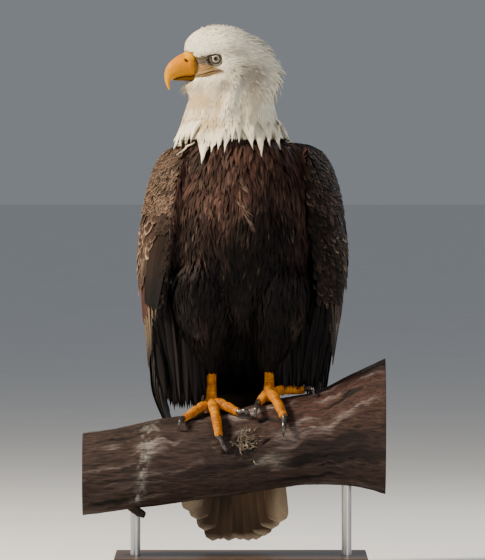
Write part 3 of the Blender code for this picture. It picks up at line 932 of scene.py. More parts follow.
def white_marking(points):
    """White of the head and neck: dusky on the cheek and cream on the throat, both partly painted
    shade, and darkened by painted shade in the folds.
    """
    forward, aside, z = in_head(points)

    def near(at_forward, at_z, reach_forward, reach_z):
        return bell((forward - at_forward) / reach_forward, (z - at_z) / reach_z)

    # painted shade: dusky patches behind, under and above the eye, partly the cheek's own grey-buff
    # and partly painted shade; the one under the cheek is painted shadow
    cheek_dusk_and_shade = np.maximum(near(-0.010, 0.705, 0.031, 0.018), 0.9 * near(0.018, 0.690, 0.018, 0.009))
    cheek_dusk_and_shade = np.maximum(cheek_dusk_and_shade, 0.7 * near(0.004, 0.733, 0.020, 0.007))
    streaks = clouds(joined(forward * 0.35, aside, z), 0.0065, 9, 3)
    cheek_dusk_and_shade = np.clip(cheek_dusk_and_shade * (0.90 + 0.40 * streaks), 0, 0.85)
    # painted shade: the throat, under the bill, turns to darker cream
    throat = 1.1 * near(0.050, 0.668, 0.024, 0.018) * smooth(z, 0.62, 0.66)
    lobe = lobes(points)
    # painted shade: the folds between the neck's lobes are darkened and turned cream
    fold = smooth(-lobe, 0.05, 0.60) * smooth(0.715 - z, 0.0, 0.03)
    white = blend(WHITE, SHADED_CREAM, np.clip(throat + 0.5 * fold, 0, 1))
    return blend(white, DUSK_AND_SHADE, np.clip(1.15 * cheek_dusk_and_shade + 0.18 * fold, 0, 0.9))


def head_lumps(points):
    """Soft unevenness of the head's coat, stronger towards the neck."""
    forward, aside, z = in_head(points)
    run = joined(forward * 0.6, aside, z)
    return clouds(run, 0.013, 20, 2) * 0.8 + 1.6 * lobes(points) * smooth(0.715 - z, 0.0, 0.03)


def lobes(points):
    """Soft lumps that run with the lie of the neck's feathers, from -1 in the folds to 1."""
    forward, aside, z = in_head(points)
    run = joined(forward + 0.35 * (z - 0.64), aside, z * 0.38)
    return np.clip(clouds(run, 0.017, 19, 2) * 1.9, -1, 1)


def wing_edges(z, side):
    """Bearings in degrees, from the bird's front, of a folded wing's front and rear edges."""
    lead, trail = columns(WING_EDGES, z)
    shift = np.where(side < 0, 3.0, -7.0) * smooth(z, 0.33, 0.40) * smooth(0.600 - z, 0.0, 0.03)
    return lead + shift, trail


def lie(points):
    """Which way feathers point: back from the bill over the head, then down the body."""
    forward, _, z = in_head(points)
    drop = np.radians(4 + 84 * smooth(0.735 - z, 0.0, 0.078))
    drop = drop + 0.5 * smooth(forward, 0.02, 0.05) * smooth(0.71 - z, 0.0, 0.02)
    drop = np.where(z < 0.62, math.pi / 2, np.minimum(drop, math.pi / 2))
    backward = head_direction(-1.0, 0.0, 0.0)
    down = np.array([0.0, 0.0, -1.0])
    return np.cos(drop)[..., None] * backward + np.sin(drop)[..., None] * down


def under_wing(points, reach_from=0.93, margin=-1.0):
    """True where a folded wing covers the bird's outline."""
    bearing, reach = in_body(points)
    lead, trail = wing_edges(points[..., 2], bearing)
    bearing = np.degrees(np.abs(bearing))
    inside = (bearing > lead - margin) & (bearing < trail + margin)
    return (reach > reach_from) & inside & (points[..., 2] < 0.603)


def from_eye(points, side):
    """How far the points are from the line along which that eye looks, and how far along it."""
    middle, look, _, _ = eye_axes(side)
    along = dot(points - middle, look)
    return np.linalg.norm(points - middle - along * look, axis=-1), along[..., 0]


def eye_distance(points):
    """Distance from the nearer eye's line of sight."""
    best = 1.0
    for side in (-1, 1):
        reach, along = from_eye(points, side)
        best = np.minimum(best, np.where(along > 0, reach, 1.0))
    return best


# Forward and z of the line of the mouth behind the bill, from the cheek to the bill
MOUTH_LINE = np.array(
    [(0.0192, 0.7050), (0.0238, 0.7062), (0.0310, 0.7056), (0.0386, 0.7032), (0.0452, 0.7010),
     (0.0522, 0.6996), (0.0624, 0.6986)]
)  # fmt: skip
# Forward, then z of the lower and the upper edge of the bare skin about it
GAPE_EDGES = np.array(
    [(0.0165, 0.7045, 0.7060), (0.0206, 0.7036, 0.7085), (0.0260, 0.7022, 0.7112),
     (0.0316, 0.7010, 0.7132), (0.0384, 0.6981, 0.7147), (0.0545, 0.6962, 0.7162)]
)  # fmt: skip


def gape_edges(forward):
    at, low, high = GAPE_EDGES.T
    return np.interp(forward, at, low), np.interp(forward, at, high)


def bare_gape(points):
    """1 on the yellow skin that narrows from the bill's base back below the eye."""
    forward, aside, z = in_head(points)
    low, high = gape_edges(forward)
    inside = np.minimum(smooth(high - z, -0.0008, 0.0008), smooth(z - low, -0.0006, 0.0006))
    return inside * smooth(forward, 0.0160, 0.0185) * smooth(np.abs(aside), 0.004, 0.008)


def bare_lore(points):
    """1 on the grey skin between the bill and the eye."""
    forward, aside, z = in_head(points)
    top = np.interp(forward, (0.031, 0.037, 0.051, 0.055), (0.7300, 0.7308, 0.7288, 0.7265))
    inside = smooth(top - z, -0.0008, 0.0008) * smooth(z, 0.7125, 0.7150)
    return inside * smooth(forward, 0.0290, 0.0330) * smooth(np.abs(aside), 0.004, 0.007)


def bare_face(points):
    """1 on the bare skin round the eyes and the bill's corner, and 0 where feathers start."""
    forward, _, z = in_head(points)
    eye = 1 - smooth(eye_distance(points), 0.0078, 0.0088)
    bill = smooth(forward, 0.052, 0.056) * smooth(z, 0.690, 0.694) * smooth(0.7365 - z, 0, 0.004)
    return np.maximum.reduce([eye, bill, bare_gape(points), bare_lore(points)])


def coat_depth(points):
    """How far the skin lies under the tips of the coat."""
    forward, aside, z = in_head(points)
    face = np.linalg.norm(joined(forward - 0.060, aside * 0.6, z - 0.712), axis=-1)
    head = 0.0011 + 0.0030 * smooth(face, 0.008, 0.090)
    head = head * (1 - 0.75 * bare_face(points))
    body = np.where(under_wing(points), 0.007, 0.010)
    return head + (body - head) * smooth(0.668 - z, 0, 0.055)


# ---------------------------------------------------------------- small feathers


STEEPEST = 20


def feather_look(name, slope, size, roughness, streak=0.35, relief=0.0004, **constants):
    """Barbs as fine streaks that leave the midrib at this slope, over the feather's own tint."""
    look = Look(name, roughness, **constants)
    vane = look.node("ShaderNodeUVMap", uv_map="vane").outputs[0]
    parts = look.node("ShaderNodeSeparateXYZ", {0: vane})
    across = look.math("ABSOLUTE", parts.outputs[0])
    lean = look.math("MULTIPLY", across, min(slope, STEEPEST))
    along = look.math("SUBTRACT", parts.outputs[1], lean)
    side = look.math("MULTIPLY", look.math("SIGN", parts.outputs[0]), 3.0)
    lot = look.math("MULTIPLY", look.attribute("lot"), 61.0)
    if slope > STEEPEST:  # barbs like hairs, along the midrib
        first, second = (parts.outputs[1], 0.012), (across, size)
    else:
        first, second = (along, size), (across, size * 12)
    grain = look.node(
        "ShaderNodeCombineXYZ",
        {
            0: look.math("DIVIDE", *first),
            1: look.math("DIVIDE", *second),
            2: look.math("ADD", lot, side),
        },
    ).outputs[0]
    barbs = look.noise(grain, 1.0, 3.0, 0.6)
    tint = look.attribute("tint", "Color")
    look.worn(tint, barbs, (0.3, 1 - streak), (0.7, 1 + streak * 0.6))
    look.bump(barbs, 0.5, relief)
    return look.material


def plain_tint(base, lot_spread=0.12, root_shade=0.55, tip_shade=1.06):
    """A feather darker at its root, with its own lightness."""

    def tint(u, v, lot):
        own = 1 + lot_spread * (2 * lot - 1)
        shade = root_shade + (tip_shade - root_shade) * smooth(u, 0.05, 0.8)
        return base[:, None, None, :] * (own * shade)[..., None]

    return tint


def face_distance(points):
    forward, aside, z = in_head(points)
    return np.linalg.norm(joined(forward - 0.058, aside * 0.5, z - 0.712), axis=-1)


def make_head_feathers(surface, look):
    """Short lanceolate feathers that grow longer from the bill to the nape."""
    coat = Coat("head_feathers", BLADE, "white_feather", look, roundness=0.25, calmness=0.75)
    rings = 6

    def spacing(p):
        return 0.00118 + 0.0012 * smooth(face_distance(p), 0.01, 0.09)

    def wanted(p):
        return (p[:, 2] > 0.648) & (bare_face(p) < 0.5)

    roots = surface.scatter(spacing, wanted, 11)
    forward, _, z = in_head(roots)
    away = smooth(face_distance(roots), 0.01, 0.11)
    nape = smooth(-forward, 0.015, 0.045)
    rng = seeded(12)
    length = (0.0048 + 0.0130 * away + 0.009 * nape * away) * rng.uniform(0.85, 1.2, len(roots))
    width = (0.00078 + 0.00105 * away) * rng.uniform(0.85, 1.2, len(roots))
    centre, normals = grown(surface, roots, length, lie, rings, 0.08, 13)
    centre, heads = clumped(centre, 0.0072, 0.10 + 0.55 * nape, 16)
    tufts = np.maximum(clouds(roots * (1.0, 1.0, 0.6), 0.010, 17, 2), 0)
    lift = 0.0001 + (0.0003 * rng.random(len(roots)) + 0.0009 * tufts) * away
    loose = rng.random(len(roots))[heads]
    lift = lift + 0.0012 * nape * loose - 0.0012 * smooth(z, 0.742, 0.762)
    lift = lift + 0.0014 * lobes(roots) * smooth(0.712 - z, 0.0, 0.03) - 0.0026 * nape
    centre = raised(centre, normals, coat_depth(roots) * (0.5 + 0.6 * nape), lift)
    half = width[:, None] * leaf(rings, 0.45, 0.8)
    clear = (eye_distance(centre) > 0.0073).all(1) & (bare_gape(centre[:, -1]) < 0.7)
    coat.add(
        centre[clear], tilted(centre, normals, 14, 0.08)[clear], half[clear], 0.00012,
        plain_tint(marking(roots)[clear], 0.05, 0.97, 1.01), roots[clear], rag=0.08, seed=15,
        calm=rolling(centre, normals, head_lumps, 0.0016)[clear],
    )  # fmt: skip
    add_locks(coat, surface)
    return coat.make()


def add_locks(coat, surface):
    """Pointed locks whose tips stand free of the nape and, much shorter, of the crown."""
    rings, members = 7, 5
    rng = seeded(51)

    def spacing(p):
        return 0.0046 + 0.0030 * smooth(0.756 - p[:, 2], 0.0, 0.02)

    def wanted(p):
        forward, _, z = in_head(p)
        return ((forward < 0.048) & (z > 0.757)) | ((forward < -0.016) & (z > 0.672))

    heads = surface.scatter(spacing, wanted, 52)
    count = len(heads)
    nape = smooth(-in_head(heads)[0], 0.012, 0.040) * smooth(0.775 - heads[:, 2], 0.0, 0.02)
    _, normal = surface.nearest(heads)
    flow = lie(heads)
    flow = unit(flow - dot(flow, normal) * normal)
    side = np.cross(normal, flow)
    length = (0.0054 + 0.0116 * nape) * rng.uniform(0.8, 1.2, count)
    lift = (0.0014 + 0.0056 * nape * rng.random(count) ** 0.8) * rng.uniform(0.7, 1.1, count)
    tips = heads + flow * length[:, None] + normal * lift[:, None]
    share = np.linspace(-1, 1, members)[None, :, None]
    broad = (0.0010 + 0.0012 * nape)[:, None, None]
    roots = (heads - 0.0014 * normal)[:, None] + side[:, None] * share * broad
    ends = tips[:, None] - flow[:, None] * np.abs(share) * 0.25 * length[:, None, None]
    ends = ends + rng.normal(0, 0.0003, (count, members, 3))
    u = steps(rings)[:, None]
    centre = roots[:, :, None] * (1 - u) + ends[:, :, None] * u
    centre = centre.reshape(count * members, rings, 3)
    normals = np.repeat(np.repeat(normal, members, 0)[:, None], rings, 1)
    half = 0.00085 * leaf(rings, 0.4, 0.9) * (0.8 + 0.5 * np.repeat(nape, members))[:, None]
    roots = np.repeat(heads, members, 0)
    coat.add(
        centre, tilted(centre, normals, 53, 0.10), half, 0.00014,
        plain_tint(marking(roots), 0.05, 0.97, 1.01), roots, rag=0.05, seed=54,
        calm=rolling(centre, normals, head_lumps, 0.0016),
    )  # fmt: skip


def strands(roots, directions, lengths, droop, rings):
    """Midribs that stand free: they leave along directions and bend by droop over their length."""
    u = steps(rings)[None, :, None]
    lengths = lengths[:, None, None]
    centre = roots[:, None] + directions[:, None] * lengths * u + droop[:, None] * lengths * u**2
    across = unit(np.cross(directions, np.array([0.0, -1.0, 0.2])))
    normals = unit(np.cross(across, directions))
    return centre, np.repeat(normals[:, None], rings, 1)


# Forward of the eye's middle, and above it, of the small dark bristles behind and over it
EYE_SPECKS = np.array(
    [(-0.0092, 0.0036), (-0.0098, 0.0004), (-0.0094, -0.0030), (-0.0110, 0.0020),
     (-0.0116, -0.0012), (-0.0104, -0.0044), (-0.0126, 0.0004), (-0.0078, 0.0086),
     (-0.0024, 0.0100), (0.0036, 0.0098), (-0.0104, 0.0060), (-0.0136, 0.0032),
     (0.0010, 0.0112), (0.0080, 0.0104)]
)  # fmt: skip


def make_bristles(surface, look):
    """Fine bristles on the bare skin before the eyes, and loose whiskers under the chin."""
    coat = Coat("face_bristles", BLADE, "white_feather", look, roundness=0.3, calmness=0.3)
    rng = seeded(41)
    add_lore_bristles(coat, surface, rng)
    add_chin_whiskers(coat, surface, rng)
    add_eye_specks(coat, surface, rng)
    return coat.make()


def add_lore_bristles(coat, surface, rng):
    roots = surface.scatter(0.00105, lambda p: bare_lore(p) * (1 - bare_gape(p)) > 0.3, 42)
    count, rings = len(roots), 4
    centre, normals = grown(surface, roots, rng.uniform(0.0030, 0.0048, count), lie, rings, 0.5, 43)
    centre = raised(centre, normals, np.full(count, 0.0006), rng.uniform(0.0002, 0.0009, count))
    half = 0.00016 * leaf(rings, 0.3, 0.8) * np.ones((count, 1))
    shade = rng.choice([0.25, 1.0, 1.6], count, p=[0.3, 0.4, 0.3])[:, None]
    coat.add(centre, normals, half, 0.0001, plain_tint(BRISTLE * shade), roots, seed=44)


def add_chin_whiskers(coat, surface, rng):
    def wanted(p):
        return (in_head(p)[0] > 0.044) & (p[:, 2] < 0.6915) & (p[:, 2] > 0.680)

    roots = surface.scatter(0.0021, wanted, 45)
    count, rings = len(roots), 7
    aim = head_direction(0.75, 0.0, -0.62) + rng.normal(0, 0.20, (count, 3))
    droop = np.array([[0.0, 0.0, -0.25]]) - 0.05 * head_direction(1.0, 0.0, 0.0)
    length = rng.uniform(0.005, 0.0135, count)
    centre, normals = strands(roots, unit(aim), length, np.repeat(droop, count, 0), rings)
    half = 0.00020 * leaf(rings, 0.3, 0.9) * np.ones((count, 1))
    coat.add(centre, normals, half, 0.00014, plain_tint(marking(roots) * 0.6, 0.4), roots, seed=46)


def add_eye_specks(coat, surface, rng):
    """Short dark bristles that lie on the feathers round each eye."""
    rings = 4
    for side in (-1, 1):
        ahead, above = EYE_SPECKS.T
        near = head_point(EYE_FORWARD + ahead, side * 0.032, EYE_Z + above)
        place, normal = surface.nearest(near)
        tip = place - 0.0014 * head_direction(1.0, 0.0, 0.5)
        share = steps(rings)[None, :, None]
        centre = place[:, None] + (tip - place)[:, None] * share + 0.0007 * normal[:, None]
        normals = np.repeat(normal[:, None], rings, 1)
        half = 0.00038 * leaf(rings, 0.4, 0.8) * rng.uniform(0.6, 1.2, (len(place), 1))
        dark = np.tile(RIM * 1.5, (len(place), 1))
        coat.add(centre, normals, half, 0.0003, plain_tint(dark), place, seed=47 + side)


IN_FRONT = -0.4  # y of a plane before the whole bird, from which feathers are cast onto the breast
# x and z of the tip, x and z of the root, and half width of the tufts that hang over the breast
TUFTS = (
    (-0.0930, 0.5925, -0.0735, 0.640, 0.0060),
    (-0.0860, 0.5965, -0.0690, 0.642, 0.0060),
    (-0.0775, 0.6010, -0.0640, 0.645, 0.0055),
    (-0.0690, 0.6050, -0.0590, 0.645, 0.0055),
    (-0.0540, 0.5719, -0.0480, 0.628, 0.0115),
    (-0.0406, 0.5878, -0.0340, 0.630, 0.0075),
    (-0.0315, 0.5915, -0.0270, 0.630, 0.0062),
    (-0.0222, 0.5889, -0.0190, 0.630, 0.0056),
    (-0.0128, 0.6037, -0.0110, 0.640, 0.0056),
    (-0.0028, 0.6014, -0.0050, 0.640, 0.0056),
    (0.0162, 0.5920, 0.0060, 0.645, 0.0120),
    (0.0284, 0.5815, 0.0230, 0.635, 0.0095),
    (0.0398, 0.5950, 0.0330, 0.640, 0.0075),
    (0.0535, 0.5920, 0.0430, 0.640, 0.0085),
    (0.0646, 0.6048, 0.0520, 0.645, 0.0065),
    (-0.0896, 0.5841, -0.0591, 0.6123, 0.0008),
)


def add_tufts(coat, surface):
    """Hackles whose tips meet in the long ragged points of the collar's front edge."""
    rings = 12
    rng = seeded(27)
    u = steps(rings)[None, :]
    for number, (tip_x, tip_z, root_x, root_z, half_width) in enumerate(TUFTS):
        count = max(2, int(half_width * 5600))
        share = np.linspace(-1, 1, count)[:, None] + rng.normal(0, 0.05, (count, 1))
        across = share * half_width
        off = np.abs(share)
        short = rng.uniform(0, 0.26, (count, 1)) * off**0.5 + 0.38 * off**1.5
        short = short * (0.25 if tip_x < -0.06 else 1.0)
        narrow = 1 - 0.80 * (u * (1 - 0.5 * short)) ** 1.8
        run = u * (1 - short)
        x = root_x + (tip_x - root_x) * run + across * narrow
        z = root_z + (tip_z - root_z) * run
        origins = joined(x, IN_FRONT, z)
        centre, normals = surface.cast(origins, (0.0, 1.0, 0.0))
        centre = steadied(steadied(centre))
        dome = 0.0022 * (1 - np.clip(np.abs(share), 0, 1) ** 2)
        height = -0.0030 + (0.0050 + dome) * smooth(u, 0.0, 0.6)
        height = height + rng.uniform(0, 0.0007, (count, 1))
        centre = centre + normals * height[..., None]
        half = 0.0023 * leaf(rings, 0.45, 0.8) * rng.uniform(0.7, 1.1, (count, 1))
        half = half * min(1.0, half_width / 0.0025)
        # painted shade: each tuft turns to darker cream towards its sides
        white = blend(np.tile(WHITE, (count, 1)), SHADED_CREAM, 0.5 * np.abs(share[:, 0]))
        coat.add(
            centre, tilted(centre, normals, 28 + number, 0.12), half, 0.00022,
            plain_tint(white, 0.08, 0.92, 1.0), rag=0.06,
            seed=128 + number, calm=rolling(centre, normals, lobes, 0.0030),
        )  # fmt: skip


def steadied(centre):
    """Midribs without the surface's small steps: each point is pulled to between its neighbours."""
    for _ in range(3):
        middle = (centre[:, :-2] + centre[:, 2:]) / 2
        centre = np.concatenate([centre[:, :1], (centre[:, 1:-1] + middle) / 2, centre[:, -1:]], 1)
    return centre


def make_neck_hackles(surface, look):
    """Long pointed hackles whose tips part over the brown of the breast and back."""
    coat = Coat("neck_hackles", BLADE, "white_feather", look, roundness=0.3, calmness=0.7)
    rings = 9

    def wanted(p):
        bearing, _ = in_body(p)
        front = np.cos(bearing) > 0.2
        return (p[:, 2] > np.where(front, 0.620, 0.609)) & (p[:, 2] < 0.664)

    roots = surface.scatter(0.0030, wanted, 21)
    rng = seeded(22)
    bearing, _ = in_body(roots)
    front = smooth(np.cos(bearing), -0.1, 0.3)
    low = smooth(0.66 - roots[:, 2], 0.0, 0.05)
    length = (0.022 + 0.012 * low) * rng.uniform(0.85, 1.15, len(roots))
    floor = 0.598 + 0.016 * front
    length = np.minimum(length, np.maximum(roots[:, 2] - floor, 0.006) / 0.85 + 0.004)
    centre, normals = grown(surface, roots, length, lie, rings, 0.06, 23)
    centre, heads = clumped(centre, 0.0105, 0.45 * low + 0.10, 26)
    lift = 0.0003 + 0.0014 * low * rng.random(len(roots))[heads]
    lift = lift + 0.0030 * lobes(roots) * (0.5 + 0.5 * low) - 0.0006
    centre = raised(centre, normals, coat_depth(roots) * 0.5, lift)
    half = (0.0017 + 0.0010 * low)[:, None] * leaf(rings, 0.42, 0.8)
    coat.add(
        centre, tilted(centre, normals, 24, 0.12), half, 0.00022,
        plain_tint(marking(roots + (0, 0, 0.02)), 0.06, 0.95, 1.01), roots, rag=0.10, seed=25,
        calm=rolling(centre, normals, lobes, 0.0038),
    )  # fmt: skip
    add_tufts(coat, surface)
    return coat.make()


def body_tint(base, pale):
    """Dark feathers of uneven lightness, some with a pale shaft or tip."""

    def tint(u, v, lot):
        shade = (0.70 + 0.6 * lot) * (0.75 + 0.33 * smooth(u, 0.1, 0.8))
        colour = base[:, None, None, :] * shade[..., None]
        shaft = (1 - smooth(np.abs(v), 0.0, 0.7)) * smooth(u, 0.35, 0.75)
        return blend(colour, PALE_EDGE * 0.42, pale[:, None, None] * shaft)

    return tint


# x, z, reach sideways, reach up and down, and strength of the ruffled paler places of the breast
RUFFLES = (
    (0.006, 0.512, 0.012, 0.020, 0.6),
    (-0.062, 0.455, 0.014, 0.014, 0.45),
    (0.088, 0.565, 0.012, 0.014, 0.35),
    (0.090, 0.352, 0.014, 0.030, 0.45),
    (-0.062, 0.345, 0.010, 0.018, 0.40),
    (-0.010, 0.378, 0.012, 0.018, 0.25),
)
RUFFLED_PALE = np.array([0.130, 0.083, 0.060])
RUFFLED_RED = np.array([0.045, 0.021, 0.014])
# x and z of the root, x and z of the tip, half width and lightness of single turned feathers
RUFFLED = (
    (-0.005, 0.558, 0.004, 0.541, 0.0022, 0.7),
    (0.000, 0.549, 0.008, 0.532, 0.0024, 0.8),
    (-0.011, 0.528, 0.000, 0.515, 0.0018, 0.8),
    (-0.004, 0.522, 0.006, 0.508, 0.0018, 0.9),
    (0.001, 0.513, 0.012, 0.497, 0.0024, 1.2),
    (0.005, 0.505, 0.015, 0.487, 0.0022, 1.0),
    (0.010, 0.497, 0.019, 0.479, 0.0018, 0.8),
    (0.010, 0.525, 0.004, 0.511, 0.0014, 0.6),
    (0.014, 0.516, 0.008, 0.504, 0.0012, 0.5),
    (-0.056, 0.560, -0.055, 0.537, 0.0022, 0.2),
    (-0.052, 0.552, -0.050, 0.534, 0.0016, 0.1),
    (-0.046, 0.519, -0.038, 0.492, 0.0016, 0.3),
    (-0.022, 0.450, -0.016, 0.418, 0.0020, 0.2),
    (-0.059, 0.366, -0.053, 0.338, 0.0026, 0.1),
    (-0.054, 0.356, -0.049, 0.333, 0.0022, 0.2),
    (0.080, 0.384, 0.086, 0.352, 0.0026, 0.1),
    (0.088, 0.372, 0.091, 0.340, 0.0026, 0.2),
    (0.098, 0.376, 0.093, 0.345, 0.0024, 0.1),
    (0.086, 0.352, 0.092, 0.324, 0.0024, 0.2),
    (0.100, 0.352, 0.095, 0.322, 0.0020, 0.1),
)


def body_lumps(points):
    """Soft clumps of the breast and belly."""
    return clouds(points * (1.0, 1.0, 0.55), 0.028, 77, 3)


def make_body_feathers(surface, look):
    """Loose dark contour feathers of the breast, belly, flanks, thighs and back."""
    coat = Coat("body_feathers", BLADE, "brown_feather", look, roundness=0.30, calmness=0.82)
    rings = 8

    def wanted(p):
        return (p[:, 2] < 0.609) & (p[:, 2] > 0.250) & ~under_wing(p, 0.84, -2.0)

    roots = surface.scatter(0.0041, wanted, 31)
    rng = seeded(32)
    z = roots[:, 2]
    low = smooth(0.36 - z, 0, 0.05)
    clumps = clouds(roots, 0.022, 78, 2)
    lumps = body_lumps(roots)
    length = (0.029 - 0.007 * low) * (1 + 0.35 * clumps) * rng.uniform(0.75, 1.3, len(roots))
    length = np.minimum(length, 0.012 + np.maximum(z - 0.272, 0.0))
    sway = clouds(roots, 0.030, 79, 2)[:, None]

    def flow(place):
        return lie(place) + 0.30 * sway * np.array([1.0, 0.0, 0.0])

    centre, normals = grown(surface, roots, length, flow, rings, 0.13, 33)
    centre, heads = clumped(centre, 0.013, 0.40, 36)
    lift = 0.0002 + 0.0008 * rng.random(len(roots)) ** 3
    lift = lift + 0.0012 * rng.random(len(roots))[heads] ** 3
    lift = (lift + 0.0030 * lumps) * (1 - 0.7 * smooth(z, 0.575, 0.600))
    centre = raised(centre, normals, coat_depth(roots) * 0.6, lift)
    half = (0.0026 - 0.0005 * low)[:, None] * leaf(rings, 0.42, 0.9)
    half = half * rng.uniform(0.6, 1.3, (len(roots), 1))
    chance = 0.95 - 0.10 * smooth(clouds(roots, 0.035, 76), 0.2, 0.5)
    pale = (rng.random(len(roots)) > chance) * rng.uniform(0.10, 0.65, len(roots))
    pale = pale * smooth(z, 0.36, 0.50)
    for at_x, at_z, reach_x, reach_z, strength in RUFFLES:
        near = bell((roots[:, 0] - at_x) / reach_x, (z - at_z) / reach_z)
        near = near * (roots[:, 1] < 0)
        pale = np.maximum(pale, strength * near * rng.uniform(0.2, 1.0, len(roots)))
    base = marking(roots) * np.exp(rng.normal(0, 0.32, (len(roots), 1)))
    coat.add(
        centre, tilted(centre, normals, 34, 0.14), half, 0.00024, body_tint(base, pale), roots,
        rag=0.30, seed=35, calm=rolling(centre, normals, body_lumps, 0.0060),
    )  # fmt: skip
    add_ruffled(coat, surface)
    add_plumes(coat)
    return coat.make()


def add_ruffled(coat, surface):
    """Single feathers that the wind has turned, paler or redder than those about them."""
    rings = 9
    table = np.array(RUFFLED)
    rng = seeded(55)
    table = np.repeat(table, 5, 0)
    table[:, :4] += rng.normal(0, 0.0020, (len(table), 4))
    u = steps(rings)[None, :]
    x = between((table[:, :1], table[:, 2:3]), u)
    z = between((table[:, 1:2], table[:, 3:4]), u)
    origins = joined(x, IN_FRONT, z)
    centre, normals = surface.cast(origins, (0.0, 1.0, 0.0))
    centre = steadied(centre)
    height = -0.0030 + 0.0054 * smooth(u, 0.0, 0.7) + rng.uniform(0, 0.0010, (len(table), 1))
    centre = centre + normals * height[..., None]
    half = table[:, 4:5] * 0.75 * leaf(rings, 0.4, 0.9) * rng.uniform(0.6, 1.1, (len(table), 1))
    base = RUFFLED_RED + (RUFFLED_PALE - RUFFLED_RED) * table[:, 5:6]
    # painted shade: turned feathers low on the body are darkened, as the belly is
    base = base * (0.30 + 0.70 * smooth(table[:, 1:2], 0.450, 0.500))
    coat.add(
        centre, tilted(centre, normals, 56, 0.3), half, 0.0003, plain_tint(base, 0.6, 0.2, 1.1),
        rag=0.3, seed=57, calm=normals,
    )  # fmt: skip


def add_plumes(coat):
    """Long soft feathers that hang from the flanks and thighs, and close the gap to the wings."""
    rings = 12
    rng = seeded(37)
    for side, inner, tip_z in ((-1, 0.062, 0.224), (1, 0.050, 0.243)):
        count = 420
        x = rng.uniform(inner, 0.128, count)
        y = rng.uniform(-0.020, 0.055, count)
        z = rng.uniform(0.315, 0.395, count)
        out = smooth(x, 0.095, 0.128)
        length = z - tip_z - rng.uniform(0.0, 0.030, count) - 0.012 * out
        inward = joined(-side * (0.05 + 0.16 * out), 0 * x, -1 + 0 * x)
        aim = unit(inward + rng.normal(0, 0.035, (count, 3)))
        roots = joined(side * x, y, z)
        centre, normals = strands(roots, aim, length, np.zeros((count, 3)), rings)
        half = 0.0042 * leaf(rings, 0.55, 0.7) * rng.uniform(0.7, 1.2, (count, 1))
        # painted shade: the plumes take the near black of the shaded belly
        base = SHADED_BELLY * np.exp(rng.normal(0.3, 0.5, (count, 1)))
        coat.add(
            centre, tilted(centre, normals, 38, 0.35), half, 0.0003,
            body_tint(base, np.zeros(count)), roots, rag=0.12, seed=39 + side,
        )  # fmt: skip


# ---------------------------------------------------------------- wings and tail


def wing_path(side, start, end, inward, rings):
    """Midribs along the wing's outside, this far under it, from one place to another.
    A place is (share of the way from the wing's front edge to its rear one, z), one a feather."""
    u = steps(rings)[None, :]
    share, z = between((start[:, :1], end[:, :1]), u), between((start[:, 1:], end[:, 1:]), u)
    lead, trail = wing_edges(z, side)
    bearing = side * np.radians(lead + (trail - lead) * share)
    depth = inward[:, :1] * (1 - u) + inward[:, 1:] * u
    centre = body_point(bearing, z, depth)
    step = 1e-3
    round_it = body_point(bearing + step, z, depth) - centre
    up_it = body_point(bearing, z + step, depth) - centre
    return centre, unit(np.cross(round_it, up_it))


def staggered(side, top, bottom, row_gap, spacing, first=0.0, last=1.0):
    """Staggered rows of places (share, z) over that side's wing."""
    places = []
    for row, z in enumerate(np.arange(top, bottom, -row_gap)):
        lead, trail = wing_edges(z, side)
        half_width, front, back = columns(ENVELOPE_STATIONS, z)
        breadth = math.radians(trail - lead) * (half_width + (back - front) / 2) / 2
        step = spacing / breadth
        start = first + (0.5 * step if row % 2 else 0.0)
        places += [(share, z) for share in np.arange(start, last, step)]
    return np.array(places)


def rim_tint(base, edge, strength):
    """A feather with a thin edge of another colour round its sides and tip."""

    def tint(u, v, lot):
        shade = 0.45 + 0.45 * smooth(u, 0.1, 0.75)
        shade = shade * (1 + 0.25 * (1 - smooth(np.abs(v), 0.0, 0.3)))
        colour = base[:, None, None, :] * shade[..., None]
        rim = np.maximum(smooth(np.abs(v), 0.7, 1.0), smooth(u, 0.84, 0.97))
        return blend(colour, edge, rim * smooth(u, 0.25, 0.6) * strength[:, None, None])

    return tint


# Tracts of small wing feathers: z of the first and last row, row gap, spacing, length, half
# width, depth at the root, first and last share, darkness, and strength of the pale edge
COVERT_TRACTS = (
    (0.602, 0.512, 0.0042, 0.0056, 0.0120, 0.0033, 0.0030, 0.010, 1.00, 1.00, 0.70),
    (0.514, 0.486, 0.0052, 0.0060, 0.0150, 0.0038, 0.0026, 0.004, 0.10, 0.40, 0.35),
    (0.480, 0.378, 0.0062, 0.0058, 0.0100, 0.0022, 0.0030, -0.010, 0.006, 0.10, 0.35),
    (0.514, 0.466, 0.0108, 0.0128, 0.0300, 0.0078, 0.0038, 0.12, 1.00, 1.00, 0.95),
    (0.466, 0.436, 0.0150, 0.0138, 0.0440, 0.0082, 0.0042, 0.24, 1.00, 0.85, 0.85),
    (0.500, 0.385, 0.0056, 0.0062, 0.0135, 0.0036, 0.0030, -0.004, 0.20, 0.60, 0.35),
)
LEFT_ONLY = (5,)  # tracts of the left wing, where the right one shows its alula
# Painted shade: the wing on the bird's left, away from the key light, has its colours darkened to
# under half
SIDE_SHADE = {-1: 1.0, 1: 0.45}


